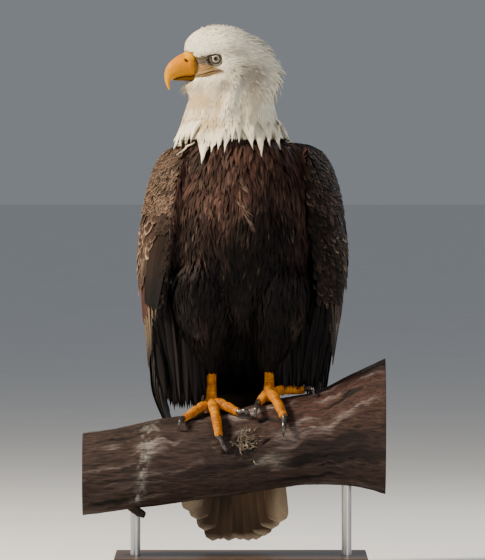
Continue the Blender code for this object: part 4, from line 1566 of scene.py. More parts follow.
def make_coverts(look):
    """Small scalloped coverts in staggered rows over the shoulder and arm of each wing."""
    coat = Coat("wing_coverts", SCALLOP, "brown_feather", look, roundness=0.4, calmness=0.5)
    for side in (-1, 1):
        for number, tract in enumerate(COVERT_TRACTS):
            if side < 0 and number in LEFT_ONLY:
                continue
            top, bottom, gap, spacing, length, half_width, depth, first, last, tone, pale = tract
            rings = 8 if length < 0.02 else 12
            places = staggered(side, top, bottom, gap, spacing, first, last)
            rng = seeded(number * 10 + side + 300)
            count = len(places)
            places += rng.normal(0, 1, places.shape) * (0.006, gap * 0.18)
            reach = length * rng.uniform(0.8, 1.15, count)
            ends = places + joined(rng.normal(0.010, 0.014, count), -reach)
            inward = joined(np.full(count, depth), rng.uniform(-0.0014, 0.0, count))
            centre, normals = wing_path(side, places, ends, inward, rings)
            broad = half_width * rng.uniform(0.75, 1.15, (count, 1))
            half = broad * leaf(rings, 0.66, 0.5)
            mottle = clouds(centre[:, 0], 0.020, 7) + rng.normal(0, 0.45, count)
            base = WING * 0.60 * tone * SIDE_SHADE[side] * np.exp(0.95 * mottle)[:, None]
            base = base * (1 - 0.45 * smooth(places[:, 0], 0.40, 0.70))[:, None]
            strength = pale * rng.uniform(0.2, 1.0, count)
            strength = strength * (1 - 0.5 * smooth(places[:, 0], 0.4, 0.7))
            if side > 0:
                strength = strength * smooth(rng.random(count), 0.25, 0.95) ** 2
            coat.add(
                centre, tilted(centre, normals, 3 + side, 0.14), half, 0.00035,
                rim_tint(base, PALE_EDGE * (1.25 if tone > 0.5 else 0.4), strength),
                rag=0.10, seed=number + 10 * side + 60, cup=0.08, calm=normals,
            )  # fmt: skip
    return coat.make()


def make_scapulars(look):
    """Broad feathers that hide the join of each wing and the back."""
    coat = Coat("scapulars", SCALLOP, "brown_feather", look, roundness=0.4, calmness=0.5)
    rings = 10
    for side in (-1, 1):
        places = staggered(side, 0.600, 0.470, 0.0135, 0.0140, 0.60, 1.02)
        rng = seeded(91 + side)
        count = len(places)
        places += rng.normal(0, 1, places.shape) * (0.006, 0.0018)
        ends = places + joined(rng.normal(0.03, 0.02, count), -rng.uniform(0.040, 0.055, count))
        inward = joined(np.full(count, 0.0025), rng.uniform(-0.0030, -0.0015, count))
        centre, normals = wing_path(side, places, ends, inward, rings)
        half = 0.0092 * leaf(rings, 0.62, 0.5) * np.ones((count, 1))
        base = BACK * np.clip(1.1 + 0.5 * clouds(centre[:, 0], 0.03, 8), 0.4, 2)[:, None]
        coat.add(
            centre, tilted(centre, normals, 93 + side, 0.10), half, 0.0004,
            rim_tint(base, PALE_EDGE, rng.uniform(0.15, 0.6, count)), rag=0.08,
            seed=94 + side, cup=0.08, calm=normals,
        )  # fmt: skip
    return coat.make()


def blade(rings, shoulder):
    """Half width of a long feather: full until its shoulder, then rounded off."""
    u = steps(rings)
    rise = 0.30 + 0.70 * smooth(u, 0.0, 0.25)
    end = np.sqrt(np.clip(1 - (np.clip(u - shoulder, 0, 1) / (1 - shoulder)) ** 2, 0, 1))
    return rise * np.maximum(end, 0.04)


def quill_tint(base, end, edge, share):
    """A flight feather that turns from one colour to another, with pale lines along its sides."""

    def tint(u, v, lot):
        colour = blend(base, end, smooth(u, 0.45, 0.95)) * (0.60 + 0.8 * lot)[..., None]
        rim = smooth(np.abs(v), 0.85, 1.0) * share * (1 - 0.5 * u) * (0.4 + 0.6 * lot)
        rim = np.maximum(rim, share * 0.7 * smooth(u, 0.965, 0.995))
        shaft = (np.abs(v) < 0.04) * 0.45
        return blend(colour, edge, rim) * (1 + shaft)[..., None]

    return tint


# Long feathers of a folded wing: count, shares and z of the first and last root, shares and
# z of the tips, depth at the roots and at the tips, half width, colours and edge strength
PRIMARY_TIPS = (0.205, 0.184, 0.174, 0.172, 0.182, 0.198, 0.214, 0.230, 0.246, 0.262)
QUILL_SETS = (
    (10, (0.03, 0.60), (0.400, 0.400), (0.10, 0.62), None, (0.0095, 0.0070), (0.0022, 0.0010),
     0.0115, FLIGHT * 0.6, FLIGHT * 0.5, PALE_EDGE * 0.30, 0.6),
    (12, (0.40, 0.97), (0.452, 0.462), (0.42, 0.95), (0.318, 0.285), (0.0080, 0.0045),
     (0.0040, 0.0010), 0.0120, WING * 0.8, WING * 0.5, PALE_EDGE * 0.7, 0.6),
    (5, (0.06, 0.24), (0.392, 0.392), (0.03, 0.17), (0.318, 0.284), (0.0060, 0.0050),
     (0.0006, 0.0002), 0.0026, TAN * 0.75, FLIGHT * 2.0, PALE_EDGE * 0.7, 0.6),
    (9, (0.17, 0.46), (0.452, 0.450), (0.18, 0.46), (0.357, 0.340), (0.0066, 0.0060),
     (0.0030, 0.0022), 0.0070, REDDISH * 0.6, REDDISH * 0.4, REDDISH * 2.2, 0.6),
    (7, (0.010, 0.140), (0.505, 0.490), (0.035, 0.130), (0.368, 0.374), (0.0040, 0.0030),
     (-0.0012, -0.0010), 0.0066, WING * 0.20, FLIGHT * 0.30, PALE_EDGE * 0.12, 0.15),
    (3, (0.135, 0.190), (0.486, 0.480), (0.175, 0.225), (0.408, 0.396), (0.0032, 0.0030),
     (0.0004, 0.0000), 0.0048, TAN * 0.60, WING * 0.5, PALE_EDGE * 0.8, 0.5),
)  # fmt: skip


RIGHT_ONLY = (4, 5)  # sets that show on the right wing alone


def make_flight_feathers(look):
    """Primaries, secondaries, primary coverts and alula of both folded wings."""
    coat = Coat("flight_feathers", BROAD, "flight_feather", look, roundness=0.25, calmness=0.4)
    rings = 30
    for side in (-1, 1):
        for number, quills in enumerate(QUILL_SETS):
            if side > 0 and number in RIGHT_ONLY:
                continue
            count, root_s, root_z, tip_s, tip_z, root_d, tip_d, half_width = quills[:8]
            order = steps(count)
            rng = seeded(number * 7 + side + 500)
            tips = np.array(PRIMARY_TIPS) if tip_z is None else between(tip_z, order)
            tips = tips + rng.normal(0, 0.0022, count)
            start = joined(between(root_s, order), between(root_z, order))
            end = joined(between(tip_s, order), tips)
            inward = joined(between(root_d, order), between(tip_d, order))
            centre, normals = wing_path(side, start, end, inward, rings)
            narrow = half_width * blade(rings, 0.86)
            outer, inner = narrow * 0.6, narrow * 1.2
            pair = (outer, inner) if side < 0 else (inner, outer)
            half = np.broadcast_to(np.stack(pair, -1), (count, rings, 2))
            base, end_colour, rim, share = quills[8:]
            tint = quill_tint(base * SIDE_SHADE[side], end_colour * SIDE_SHADE[side], rim, share)
            coat.add(
                centre, tilted(centre, normals, 51, 0.05), half, 0.0005, tint,
                rag=0.03, seed=50 + side + number, cup=0.04, calm=normals,
            )  # fmt: skip
    return coat.make()


def tail_tint(off, z):
    """Brown in the middle, partly dusky and partly painted shade, with cream sides and a ragged
    cream rim;
    painted light carries the cream further in on the bird's right half. off is how far each
    feather's rings are from the tail's middle line, and z their height."""
    cream = np.array([0.60, 0.49, 0.36])
    # dusky, and darkened as painted shade
    brown = np.array([0.016, 0.0085, 0.0050])
    tan = np.array([0.062, 0.036, 0.019])

    def tint(u, v, lot):
        place = off[:, :, None] + 0.013 * v
        smudge = clouds(joined(place, 0.0, 0.22 * z[:, :, None]), 0.012, 68, 2)
        rim = np.clip(np.abs(place) / 0.062, 0, 1) ** 3
        light = np.clip(0.45 + 0.55 * smudge + 0.5 * rim, 0, 1.3)
        # painted light: on the bird's right half, towards the key light, the cream starts nearer
        # the middle
        edge = rim + 0.25 * (place < 0)
        tip = smooth(u, 0.960 + 0.02 * smudge, 0.995)
        pale = np.maximum(smooth(edge, 0.55, 1.3), tip) * 0.5
        pale = np.maximum(pale, smooth(np.abs(v), 0.9, 1.0) * 0.10 * smooth(u, 0.5, 0.85))
        return blend(blend(brown, tan, light), cream, pale)

    return tint


TAIL_ROOT_Z = 0.245
TAIL_HALF_WIDTH = 0.0175  # of one feather


def make_tail(look):
    """Twelve broad rectrices; the middle pair is longest and lies behind the others."""
    coat = Coat("tail_feathers", BROAD, "tail_feather", look, roundness=0.02, calmness=0.85)
    rings = 40
    pair = np.arange(6)
    tip_z = np.array([[0.0330, 0.0350, 0.0330, 0.0480, 0.0640, 0.0760],
                      [0.0345, 0.0330, 0.0345, 0.0400, 0.0500, 0.0600]])
    tip_x = 0.009 + pair * 0.0112
    root_x = 0.004 + pair * 0.0062
    u = steps(rings)[None, :]
    behind = body_direction(0.0, 1.0, 0.0)
    across = body_direction(1.0, 0.0, 0.0)
    for side in (-1, 1):
        z = between((TAIL_ROOT_Z, tip_z[0 if side < 0 else 1][:, None]), u)
        fan = 1 - (1 - u) ** 1.4
        x = TAIL_CENTRE_X + side * between((root_x[:, None], tip_x[:, None]), fan)
        _, middle, thick = columns(TAIL_STATIONS, z)
        layer = 0.0010 - 0.00034 * (pair[:, None] + (0.5 if side > 0 else 0.0)) + 0 * thick
        curve = 0.10 * ((x - TAIL_CENTRE_X) ** 2) / 0.08
        y = middle + layer - curve
        centre = body_place(x, y, z)
        slope = -2.5 * (x - TAIL_CENTRE_X)[..., None]
        normals = unit(slope * across - behind + 0 * centre)
        wide = np.full((len(pair), 1), TAIL_HALF_WIDTH) * blade(rings, 0.92)
        outer, inner = wide * 0.75, wide * 1.1
        sides = (outer, inner) if side < 0 else (inner, outer)
        coat.add(
            centre, normals, np.stack(sides, -1), 0.00012, tail_tint(x - TAIL_CENTRE_X, z),
            rag=0.018, seed=62 + side, calm=normals,
        )  # fmt: skip
    return coat.make()


def make_tail_coverts(look):
    """Soft white feathers over the base of the tail, behind and below."""
    coat = Coat("tail_coverts", SLIM, "tail_feather", look, roundness=0.5, calmness=0.3)
    rings = 10
    rng = seeded(71)
    for outward, top, bottom in ((1, 0.262, 0.205), (-1, 0.215, 0.190)):
        places = []
        for row, z in enumerate(np.arange(top, bottom, -0.0085)):
            shift = 0.5 if row % 2 else 0.0
            places += [((i + shift) / 5.0, z) for i in range(-5, 5)]
        places = np.array(places) + rng.normal(0, 1, (len(places), 2)) * (0.03, 0.002)
        u = steps(rings)[None, :]
        length = rng.uniform(0.045, 0.065, len(places))[:, None]
        z = places[:, 1:] - length * u
        half_width, middle, thick = columns(TAIL_STATIONS, z)
        across = np.clip(places[:, :1] * 0.75 * (1 + 0.25 * u), -0.98, 0.98)
        x = TAIL_CENTRE_X + across * half_width
        bulge = thick * np.sqrt(1 - across**2) + 0.002 + 0.010 * (1 - u) ** 2
        y = middle + outward * bulge
        centre = body_place(x, y, z)
        facing = body_direction(across * 0.5, outward, 0.0)
        half = 0.0080 * leaf(rings, 0.6, 0.5) * np.ones((len(places), 1))
        base = np.tile(WHITE * 0.95, (len(places), 1))
        coat.add(
            centre, unit(facing), half, 0.0004, plain_tint(base, 0.1, 0.8, 1.0),
            rag=0.15, seed=72 + outward, cup=0.1, calm=unit(facing),
        )  # fmt: skip
    return coat.make()


# ---------------------------------------------------------------- skin, eyes and bill

LORE = np.array([0.066, 0.049, 0.035])  # grey-brown bare skin before the eyes
OCHRE = np.array([0.180, 0.096, 0.012])  # bare skin about the mouth's corner
FLESH_PINK = np.array([0.26, 0.185, 0.125])
RIM = np.array([0.022, 0.015, 0.012])
HORN = np.array([0.64, 0.215, 0.001])
HORN_LOW = np.array([0.47, 0.205, 0.008])
REAR_LOW = np.array([0.30, 0.155, 0.035])  # the bill's rear border, below and above
REAR_HIGH = np.array([0.16, 0.105, 0.045])
HORN_TIP_AND_HIGHLIGHT = np.array([0.74, 0.310, 0.003])
WAX = np.array([0.74, 0.340, 0.001])
EYE_AHEAD = math.radians(14.0)  # the eyes look a little forward
LID_OPENING = math.radians(35.0)
LID_WIDTH = math.radians(30.0)
NOSTRIL = (0.0668, 0.7207)  # forward and z
NOSTRIL_LEAN = math.radians(34.0)


def eye_axes(side):
    """The eye's middle, the way it looks, and the directions forward along its face and up."""
    middle = head_point(EYE_FORWARD, side * EYE_ASIDE, EYE_Z)
    look = head_direction(math.sin(EYE_AHEAD), side * math.cos(EYE_AHEAD), 0.0)
    ahead = head_direction(math.cos(EYE_AHEAD), -side * math.sin(EYE_AHEAD), 0.0)
    return middle, look, ahead, np.array([0.0, 0.0, 1.0])


def cap_points(side, radius, polar, turn):
    """Points at a distance from the eye's middle: polar from its look, turn from straight up."""
    middle, look, ahead, up = eye_axes(side)
    polar, turn, radius = np.broadcast_arrays(polar, turn, radius)
    return middle + radius[..., None] * (
        np.cos(polar)[..., None] * look
        + np.sin(polar)[..., None]
        * (np.cos(turn)[..., None] * up + np.sin(turn)[..., None] * ahead)
    )


def face_tint(points):
    """Colours of the skin: the coat's markings, and the bare skin of the face, with painted shade
    along the mouth and under the brow.
    """
    forward, aside, z = in_head(points)
    colour = marking(points)
    grey = blend(LORE, OCHRE * 0.8, smooth(forward, 0.0455, 0.0535))
    grey = blend(grey, OCHRE * 0.9, 1 - smooth(z, 0.7115, 0.7150))
    colour = blend(colour, grey, bare_lore(points))
    yellow = blend(FLESH_PINK, OCHRE, smooth(forward, 0.020, 0.033))
    horn = smooth(forward, 0.033, 0.050) * smooth(z, 0.6990, 0.7045)
    yellow = blend(yellow * 0.75, REAR_LOW * 0.9, 0.95 * horn)
    colour = blend(colour, yellow, bare_gape(points))
    waxy = smooth(forward, 0.0560, 0.0590) * smooth(z, 0.694, 0.697)
    colour = blend(colour, HORN_LOW * 0.8, waxy * smooth(0.7375 - z, 0.0, 0.002))
    line = np.interp(forward, MOUTH_LINE[:, 0], MOUTH_LINE[:, 1])
    # painted shade: a dark line along the crease of the mouth
    crease = bell((z - line) / 0.00055) * smooth(forward, 0.0165, 0.0200)
    colour = blend(colour, RIM * 1.5, 0.85 * crease * (forward < 0.056) * (np.abs(aside) > 0.006))
    # painted shade: a dark line under the brow's ridge, above the lore
    brow = np.interp(forward, (0.0310, 0.0370, 0.0510), (0.7312, 0.7316, 0.7296))
    brow = bell((z - brow) / 0.0007) * smooth(forward, 0.032, 0.037)
    brow = brow * smooth(0.0525 - forward, 0.0, 0.008) * (np.abs(aside) > 0.006)
    colour = blend(colour, RIM * 2.0, 0.8 * brow)
    mottle = clouds(points, 0.004, 64, 2)[..., None]
    bare = np.maximum(bare_lore(points), bare_gape(points))[..., None]
    colour = colour * (1 + 0.22 * mottle * bare)
    return blend(colour, RIM * 1.4, 1 - smooth(eye_distance(points), 0.0078, 0.0090))


def skin_mesh(envelope):
    """The envelope moved in by the coat's depth, finer at the face, with its folds."""
    shaped = bmesh.new()
    shaped.from_mesh(envelope)
    for first, last, low, high in ((-0.02, 0.09, 0.680, 0.80), (0.012, 0.09, 0.690, 0.740)):
        face = []
        for edge in shaped.edges:
            forward, _, z = in_head(np.array([v.co for v in edge.verts]))
            if forward.min() > first and forward.max() < last and z.min() > low and z.max() < high:
                face.append(edge)
        bmesh.ops.subdivide_edges(shaped, edges=face, cuts=1, use_grid_fill=True)
    bmesh.ops.triangulate(shaped, faces=[f for f in shaped.faces if len(f.verts) > 4])
    mesh = bpy.data.meshes.new("skin")
    shaped.to_mesh(mesh)
    shaped.free()
    points, normals = points_of(mesh), normals_of(mesh)
    forward, aside, z = in_head(points)
    depth = coat_depth(points)
    for side in (-1, 1):
        near = np.linalg.norm(points - head_point(EYE_FORWARD + 0.002, side * 0.026, EYE_Z), axis=1)
        depth = depth + 0.0035 * (1 - smooth(near, 0.006, 0.013)) * (side * aside > 0)
    wrinkle = clouds(joined(forward * 0.5, aside * 0.5, z), 0.0022, 65, 2)
    depth = depth + 0.00030 * wrinkle * bare_lore(points)
    brow = bell((z - 0.7322) / 0.0016) * smooth(forward, 0.028, 0.034)
    brow = brow * smooth(0.053 - forward, 0.0, 0.006) * (np.abs(aside) > 0.008)
    move_points(mesh, points - normals * (depth - 0.0009 * brow)[:, None])
    mesh.shade_smooth()
    return mesh


def skin_look():
    look = Look("skin", 0.55, Specular_IOR_Level=0.3, Subsurface_Weight=0.05)
    tint = look.attribute("tint", "Color")
    pores = look.noise(look.place(), 900.0, 3.0)
    look.worn(tint, pores, (0.3, 0.80), (0.7, 1.12))
    look.bump(pores, 0.3, 0.0003)
    return look.material


def make_skin(envelope, look):
    mesh = skin_mesh(envelope)
    set_colours(mesh, "tint", face_tint(points_of(mesh)))
    new_object("skin", mesh, look, "white_feather", FLESH)


def slab(name, top, bottom, material, slot):
    """A closed sheet between two grids of the same size."""
    rows_, columns = top.shape[:2]
    index = np.arange(rows_ * columns).reshape(rows_, columns)
    under = index + rows_ * columns

    def quads(grid):
        return joined(grid[:-1, :-1], grid[1:, :-1], grid[1:, 1:], grid[:-1, 1:]).reshape(-1, 4)

    rim = np.concatenate([index[:-1, 0], index[-1, :-1], index[:0:-1, -1], index[0, :0:-1]])
    below = rim + rows_ * columns
    walls = joined(rim, below, np.roll(below, -1), np.roll(rim, -1))
    points = np.concatenate([top.reshape(-1, 3), bottom.reshape(-1, 3)])
    mesh = mesh_from(name, points, [quads(index), quads(under)[:, ::-1], walls])
    outward_faces(mesh)
    return new_object(name, mesh, material, slot)


def make_gape(surface, side, name, look):
    """The soft corner of the mouth: two lips, with the line of the mouth between them."""
    forward = np.linspace(0.0140, 0.0580, 110)[:, None]
    share = steps(56)[None, :]
    low, high = gape_edges(forward)
    low, high = low - 0.0024, high + 0.0020
    z = low + (high - low) * share
    origins = head_point(np.minimum(forward, 0.0500), side * 0.08, z)
    place, normal = surface.cast(origins, Vector(head_direction(0.0, -side, 0.0)))
    past = np.maximum(forward - 0.0500, 0.0)
    place = place + head_direction(1.0, 0.0, 0.0) * past[..., None]
    place = place - side * head_direction(0.0, 1.0, 0.0) * (1.1 * past)[..., None]
    off = z - np.interp(forward, MOUTH_LINE[:, 0], MOUTH_LINE[:, 1])
    inside = smooth(share, 0.0, 0.22) * smooth(1 - share, 0.0, 0.22)
    inside = inside * smooth(forward, 0.0140, 0.0190)
    lips = 0.0012 * bell((np.abs(off) - 0.0016) / 0.0011)
    crease = 0.0016 * bell(off / 0.0005) * smooth(forward, 0.0160, 0.0200)
    fold = 0.00045 * np.cos(off / 0.00055) * smooth(np.abs(off), 0.0028, 0.0040)
    wrinkle = 0.00022 * clouds(joined(forward * 0.35, z, 0 * z), 0.0012, 66, 2)
    height = -0.0022 + 0.0022 * inside + (lips - crease + fold + wrinkle) * inside
    top = place + normal * height[..., None]
    bottom = place - normal * 0.0045
    made = slab("gape_" + name, top, bottom, look, "bill")
    set_colours(made.data, "tint", face_tint(points_of(made.data)))


def make_eye(side, name):
    """A ball with a clear bulge over the iris; colours go by the angle from its look."""
    rings, sides = 44, 48
    polar = np.linspace(0.02, math.pi - 0.02, rings)
    turn = turns(sides)
    bulge = 0.0007 * bell(polar / 0.55)
    radius = (EYE_RADIUS - 0.0003 + bulge)[:, None]
    points = cap_points(side, radius, polar[:, None], turn[None, :])
    look = Look(
        "eyes_" + name, 0.12, Coat_Weight=0.4, Coat_Roughness=0.05, Specular_IOR_Level=0.25
    )
    polar_value = look.attribute("polar")
    fibres = look.grain((900.0, 900.0, 900.0), 3.0)
    ring = look.ramp(
        polar_value,
        (0.0, (0.003, 0.002, 0.002)),
        (0.215, (0.003, 0.002, 0.002)),
        (0.250, (0.10, 0.07, 0.045)),
        (0.34, (0.26, 0.205, 0.14)),
        (0.44, (0.42, 0.34, 0.235)),
        (0.51, (0.20, 0.16, 0.11)),
        (0.56, (0.014, 0.010, 0.008)),
        (1.0, (0.008, 0.006, 0.005)),
    )
    look.worn(ring, fibres, (0.3, 0.75), (0.7, 1.12))
    obj = loft("eye_ball_" + name, points, look.material, "eye", ("eye_" + name,))
    set_value(obj.data, "polar", np.repeat(polar, sides))


def make_lids(side, name):
    """A dark naked rim round the eye, flattened above by the brow, that rolls onto the skin."""
    sides = 96
    turn = turns(sides)
    above = np.clip(np.cos(turn), 0, 1) ** 2
    corners = bell((turn - math.radians(285)) / 0.22)
    corners = corners + 0.7 * bell((turn - math.radians(75)) / 0.20)
    opening = LID_OPENING - math.radians(3.0) * above + math.radians(3) * corners
    crinkle = 0.00010 * np.sin(17 * turn) + 0.0001 * np.sin(29 * turn + 1)
    profile = (
        # share out from the opening, height above the ball
        (0.00, -0.0012), (0.00, 0.0001), (0.08, 0.0006), (0.22, 0.0009), (0.40, 0.0009),
        (0.60, 0.0007), (0.80, 0.0002), (1.00, -0.0010), (1.00, -0.0030),
    )  # fmt: skip
    rings = []
    for share, height in profile:
        polar = opening + share * LID_WIDTH
        lift = height + (0.0010 * above + crinkle) * share
        rings.append(cap_points(side, EYE_RADIUS + lift, polar, turn))
    rings.append(cap_points(side, EYE_RADIUS - 0.0040, opening + LID_WIDTH, turn))
    rings.append(cap_points(side, EYE_RADIUS - 0.0030, opening, turn))
    points = np.stack(rings)
    count = len(rings)
    index = np.arange(count * sides).reshape(count, sides)
    flat = points.reshape(-1, 3)
    mesh = mesh_from("eyelids_" + name, flat, [bands(index, np.roll(index, -1, axis=0))])
    outward_faces(mesh)
    reach, _ = from_eye(flat, side)
    spread = 0.0074 + np.tile(0.0011 * corners + 0.0005 * np.sin(5 * turn + 2), count)
    outer = face_tint(flat)
    outer = blend(outer, LORE, 0.5)
    set_colours(mesh, "tint", blend(RIM, outer, smooth(reach, spread, spread + 0.0010)))
    look = Look("eyelid_" + name, 0.42)
    grain = look.noise(look.place(), 1500.0, 2.0)
    tint = look.attribute("tint", "Color")
    look.worn(tint, grain, (0.35, 0.7), (0.65, 1.3))
    look.bump(grain, 0.4, 0.0002)
    new_object("eyelids_" + name, mesh, look.material, "eye")


def bill_rings(stations, count, sides, squareness):
    """Rings across the bill between its ridge and its cutting edge, even over the stations."""
    row = eased(np.arange(len(stations)), (stations,), count)
    culmen_s, culmen_z, tomium_s, tomium_z, half = (row[:, i : i + 1] for i in range(5))
    a = turns(sides)[None, :]
    middle_s, middle_z = (culmen_s + tomium_s) / 2, (culmen_z + tomium_z) / 2
    up_s, up_z = (culmen_s - tomium_s) / 2, (culmen_z - tomium_z) / 2
    widen = 1 + squareness * np.sin(a) ** 2 * np.clip(-np.cos(a), 0, 1)
    return head_point(
        middle_s + up_s * np.cos(a), half * widen * np.sin(a), middle_z + up_z * np.cos(a)
    )


def cere_reach(forward, z):
    """How far behind the cere's slanting front border a place is."""
    return 0.0715 - 0.35 * (0.7342 - z) - forward


def bill_tint(points):
    """Orange horn with a paler tip, a painted highlight along the ridge, and yellower wax above the
    nostrils.
    """
    forward, aside, z = in_head(points)
    colour = blend(HORN, HORN_LOW, 1 - smooth(z, 0.693, 0.722))
    tip = smooth(forward, 0.080, 0.094) * (1 - smooth(z, 0.680, 0.712))
    colour = blend(colour, HORN_TIP_AND_HIGHLIGHT, 0.8 * tip)
    waxy = smooth(cere_reach(forward, z), -0.0010, 0.0014) * smooth(z, 0.7205, 0.7265)
    colour = blend(colour, WAX, waxy)
    rear = 0.0560 + 0.0010 * np.sin(z * 900.0)
    face = blend(REAR_LOW, REAR_HIGH, smooth(z, 0.7130, 0.7190))
    colour = blend(colour, face, smooth(rear - forward, -0.0022, 0.0022))
    # painted highlight: a paler stripe along the front of the ridge
    ridge_highlight = smooth(0.0035 - np.abs(aside), 0.0, 0.003) * smooth(forward, 0.070, 0.076)
    colour = blend(colour, HORN_TIP_AND_HIGHLIGHT, 0.35 * ridge_highlight * smooth(z, 0.69, 0.70))
    streak = clouds(joined(forward * 0.3, aside, z * 0.8), 0.006, 61)[..., None]
    return colour * (1 + 0.10 * streak)


def make_bill():
    """The upper bill with its waxy cere and nostrils in one, and the lower bill; the nostrils and
    the lower bill are darkened with painted shade.
    """
    look = Look("bill_horn", 0.30, Specular_IOR_Level=0.04)
    tint = look.attribute("tint", "Color")
    grain = look.grain((260.0, 260.0, 90.0), 4.0, 0.6)
    look.worn(tint, grain, (0.3, 0.90), (0.7, 1.06))
    look.bump(grain, 0.12, 0.0003)

    upper = bill_rings(BILL_STATIONS, 130, 84, 0.10)
    lower = bill_rings(LOWER_BILL_STATIONS, 36, 36, 0.0)
    forward, aside, z = in_head(upper)
    cos_lean, sin_lean = math.cos(NOSTRIL_LEAN), math.sin(NOSTRIL_LEAN)
    off_f, off_z = forward - NOSTRIL[0], z - NOSTRIL[1]
    along = -off_f * cos_lean - off_z * sin_lean
    over = -off_f * sin_lean + off_z * cos_lean
    hole = np.exp(-((along / 0.0034) ** 4) - (over / 0.00105) ** 2)
    lip = np.exp(-((along / 0.0046) ** 4) - (over / 0.0026) ** 2) - hole
    swell = 0.00045 * smooth(cere_reach(forward, z), -0.0008, 0.0016) * smooth(z, 0.700, 0.716)
    outward = unit(upper - upper.mean(axis=1, keepdims=True))
    sideways = np.sign(aside)[..., None] * head_direction(0.0, 1.0, 0.0)
    upper = upper + outward * swell[..., None]
    upper = upper + sideways * (0.0005 * lip - 0.0042 * hole)[..., None]
    pieces = [
        loft("bill_upper_horn", upper, look.material, "bill", ("bill_upper", "cere")),
        loft("bill_lower_horn", lower, look.material, "bill", ("bill_lower",)),
    ]
    colours = bill_tint(upper.reshape(-1, 3))
    # painted shade: the hollow of each nostril is painted near black
    set_colours(pieces[0].data, "tint", blend(colours, RIM, np.clip(hole.ravel() * 1.5, 0, 1)))
    below = points_of(pieces[1].data)
    # painted shade: the lower bill at about a quarter of the upper bill's colours, and darker still
    # along its bottom edge
    edge = 1 - smooth(below[:, 2], 0.6918, 0.6955)
    shaded_lower_bill = blend(bill_tint(below) * 0.26, HORN_LOW * 0.20, 0.7 * edge)
    set_colours(pieces[1].data, "tint", shaded_lower_bill)


# ---------------------------------------------------------------- feet


SCUTE_RELIEF = 0.0005


def foot_look():
    look = Look("foot_scales", 0.45, Specular_IOR_Level=0.15)
    cells = look.node("ShaderNodeTexVoronoi", {"Vector": look.place(), "Scale": 620.0})
    cells.feature = "DISTANCE_TO_EDGE"
    edge = look.ramp(cells.outputs["Distance"], (0.0, 0.0), (0.12, 1.0))
    groove = look.attribute("groove")
    worn = look.noise(look.place(), 120.0, 4.0)
    body = look.ramp(
        worn, (0.25, (0.17, 0.038, 0.002)), (0.45, (0.42, 0.13, 0.003)), (0.7, (0.60, 0.24, 0.007))
    )
    # darker brown in the grooves between the plates
    darker_in_grooves = look.mix(look.math("MULTIPLY", groove, 0.6), body, (0.16, 0.045, 0.006))
    look.colour(look.mix(0.30, darker_in_grooves, look.mix(1.0, darker_in_grooves, edge, "MULTIPLY")))
    look.bump(edge, 0.35, 0.0004)
    return look.material


def claw_look():
    look = Look("claw_horn", 0.22, Coat_Weight=0.4, Coat_Roughness=0.12)
    grain = look.grain((160.0, 160.0, 160.0), 4.0)
    look.colour(look.ramp(grain, (0.3, (0.012, 0.010, 0.010)), (0.75, (0.055, 0.047, 0.042))))
    look.bump(grain, 0.15, 0.0003)
    return look.material


def make_scaly(name, row, radii, sides, up, plates, look):
    """A scaly tube: plates overlap across its upper side, and pads swell below."""
    path = row[:, :3]
    rings, angle = sweep(path, radii, sides, up)
    u = steps(len(path))
    uneven = 0.35 * np.sin(u * 7.3 + plates) + 0.2 * np.sin(u * 17.0)
    phase = (u * plates + uneven) % 1.0
    top = smooth(np.cos(angle), -0.05, 0.45)[None, :]
    step = (0.55 - np.abs(phase - 0.42)) * SCUTE_RELIEF
    groove = (np.abs(phase - 0.97) < 0.09)[:, None] * top
    outward = unit(rings - path[:, None])
    rings = rings + outward * (top * step[:, None] - groove * SCUTE_RELIEF * 0.6)[..., None]
    obj = loft(name + "_scutes", rings, look, "foot_skin", (name,))
    set_value(obj.data, "groove", groove)


def make_toe(side, digit, look):
    x0, wrap0, _ = PAD[side]
    x1, wrap1, _, _, radius, _ = DIGITS[side][digit]
    t = steps(9)
    thick = radius * (1.12 - 0.26 * t + 0.07 * np.cos(6 * math.pi * t))
    arch = 0.0045 * np.sin(math.pi * t) * (1 - t) + 0.004 * (1 - t) ** 2
    path = on_branch(x0 + (x1 - x0) * t, wrap0 + (wrap1 - wrap0) * t, thick + arch + WOOD_CLEARANCE)
    row = eased(t, (path, thick), 90)
    fine = steps(90)
    blunt = np.sqrt(np.maximum(1 - ((fine - 0.94) / 0.075) ** 2, 0.1))
    radii = row[:, 3] * np.where(fine > 0.94, blunt, 1)
    make_scaly(f"toe_{side}_{digit}", row, radii, 28, up_of(row[:, :3]), 13, look)


def up_of(path):
    """Away from the branch's heart at each point of a path on it."""
    centre_z = columns(PERCH_STATIONS, path[:, 0])[0]
    return unit(joined(0.0, path[:, 1], path[:, 2] - centre_z))


def make_claw(side, digit, look):
    x1, wrap1, x2, wrap2, toe_radius, radius = DIGITS[side][digit]
    x0, wrap0, _ = PAD[side]
    toe_length = np.linalg.norm(on_branch(x1, wrap1, 0.0) - on_branch(x0, wrap0, 0.0))
    back = CLAW_ROOT / toe_length
    first = on_branch(
        x1 + (x0 - x1) * back, wrap1 + (wrap0 - wrap1) * back, toe_radius * 0.9 + WOOD_CLEARANCE
    )
    t = steps(10)
    along = np.sin(0.5 * math.pi * t)
    lift = toe_radius * (1 - t**2) + 0.0055 * np.sin(math.pi * t) ** 2
    path = on_branch(
        x1 + (x2 - x1) * along, wrap1 + (wrap2 - wrap1) * along, lift + WOOD_CLEARANCE
    )
    path = np.vstack([first, path])
    radii = np.concatenate([[radius * 0.95], radius * (1 - 0.86 * t**1.3)])
    row = eased(np.arange(len(path)), (path, radii), 40)
    rings, _ = sweep(row[:, :3], row[:, 3], 20, up_of(row[:, :3]))
    name = f"claw_{side}_{digit}"
    loft(name + "_horn", rings, look, "claw", (name,))


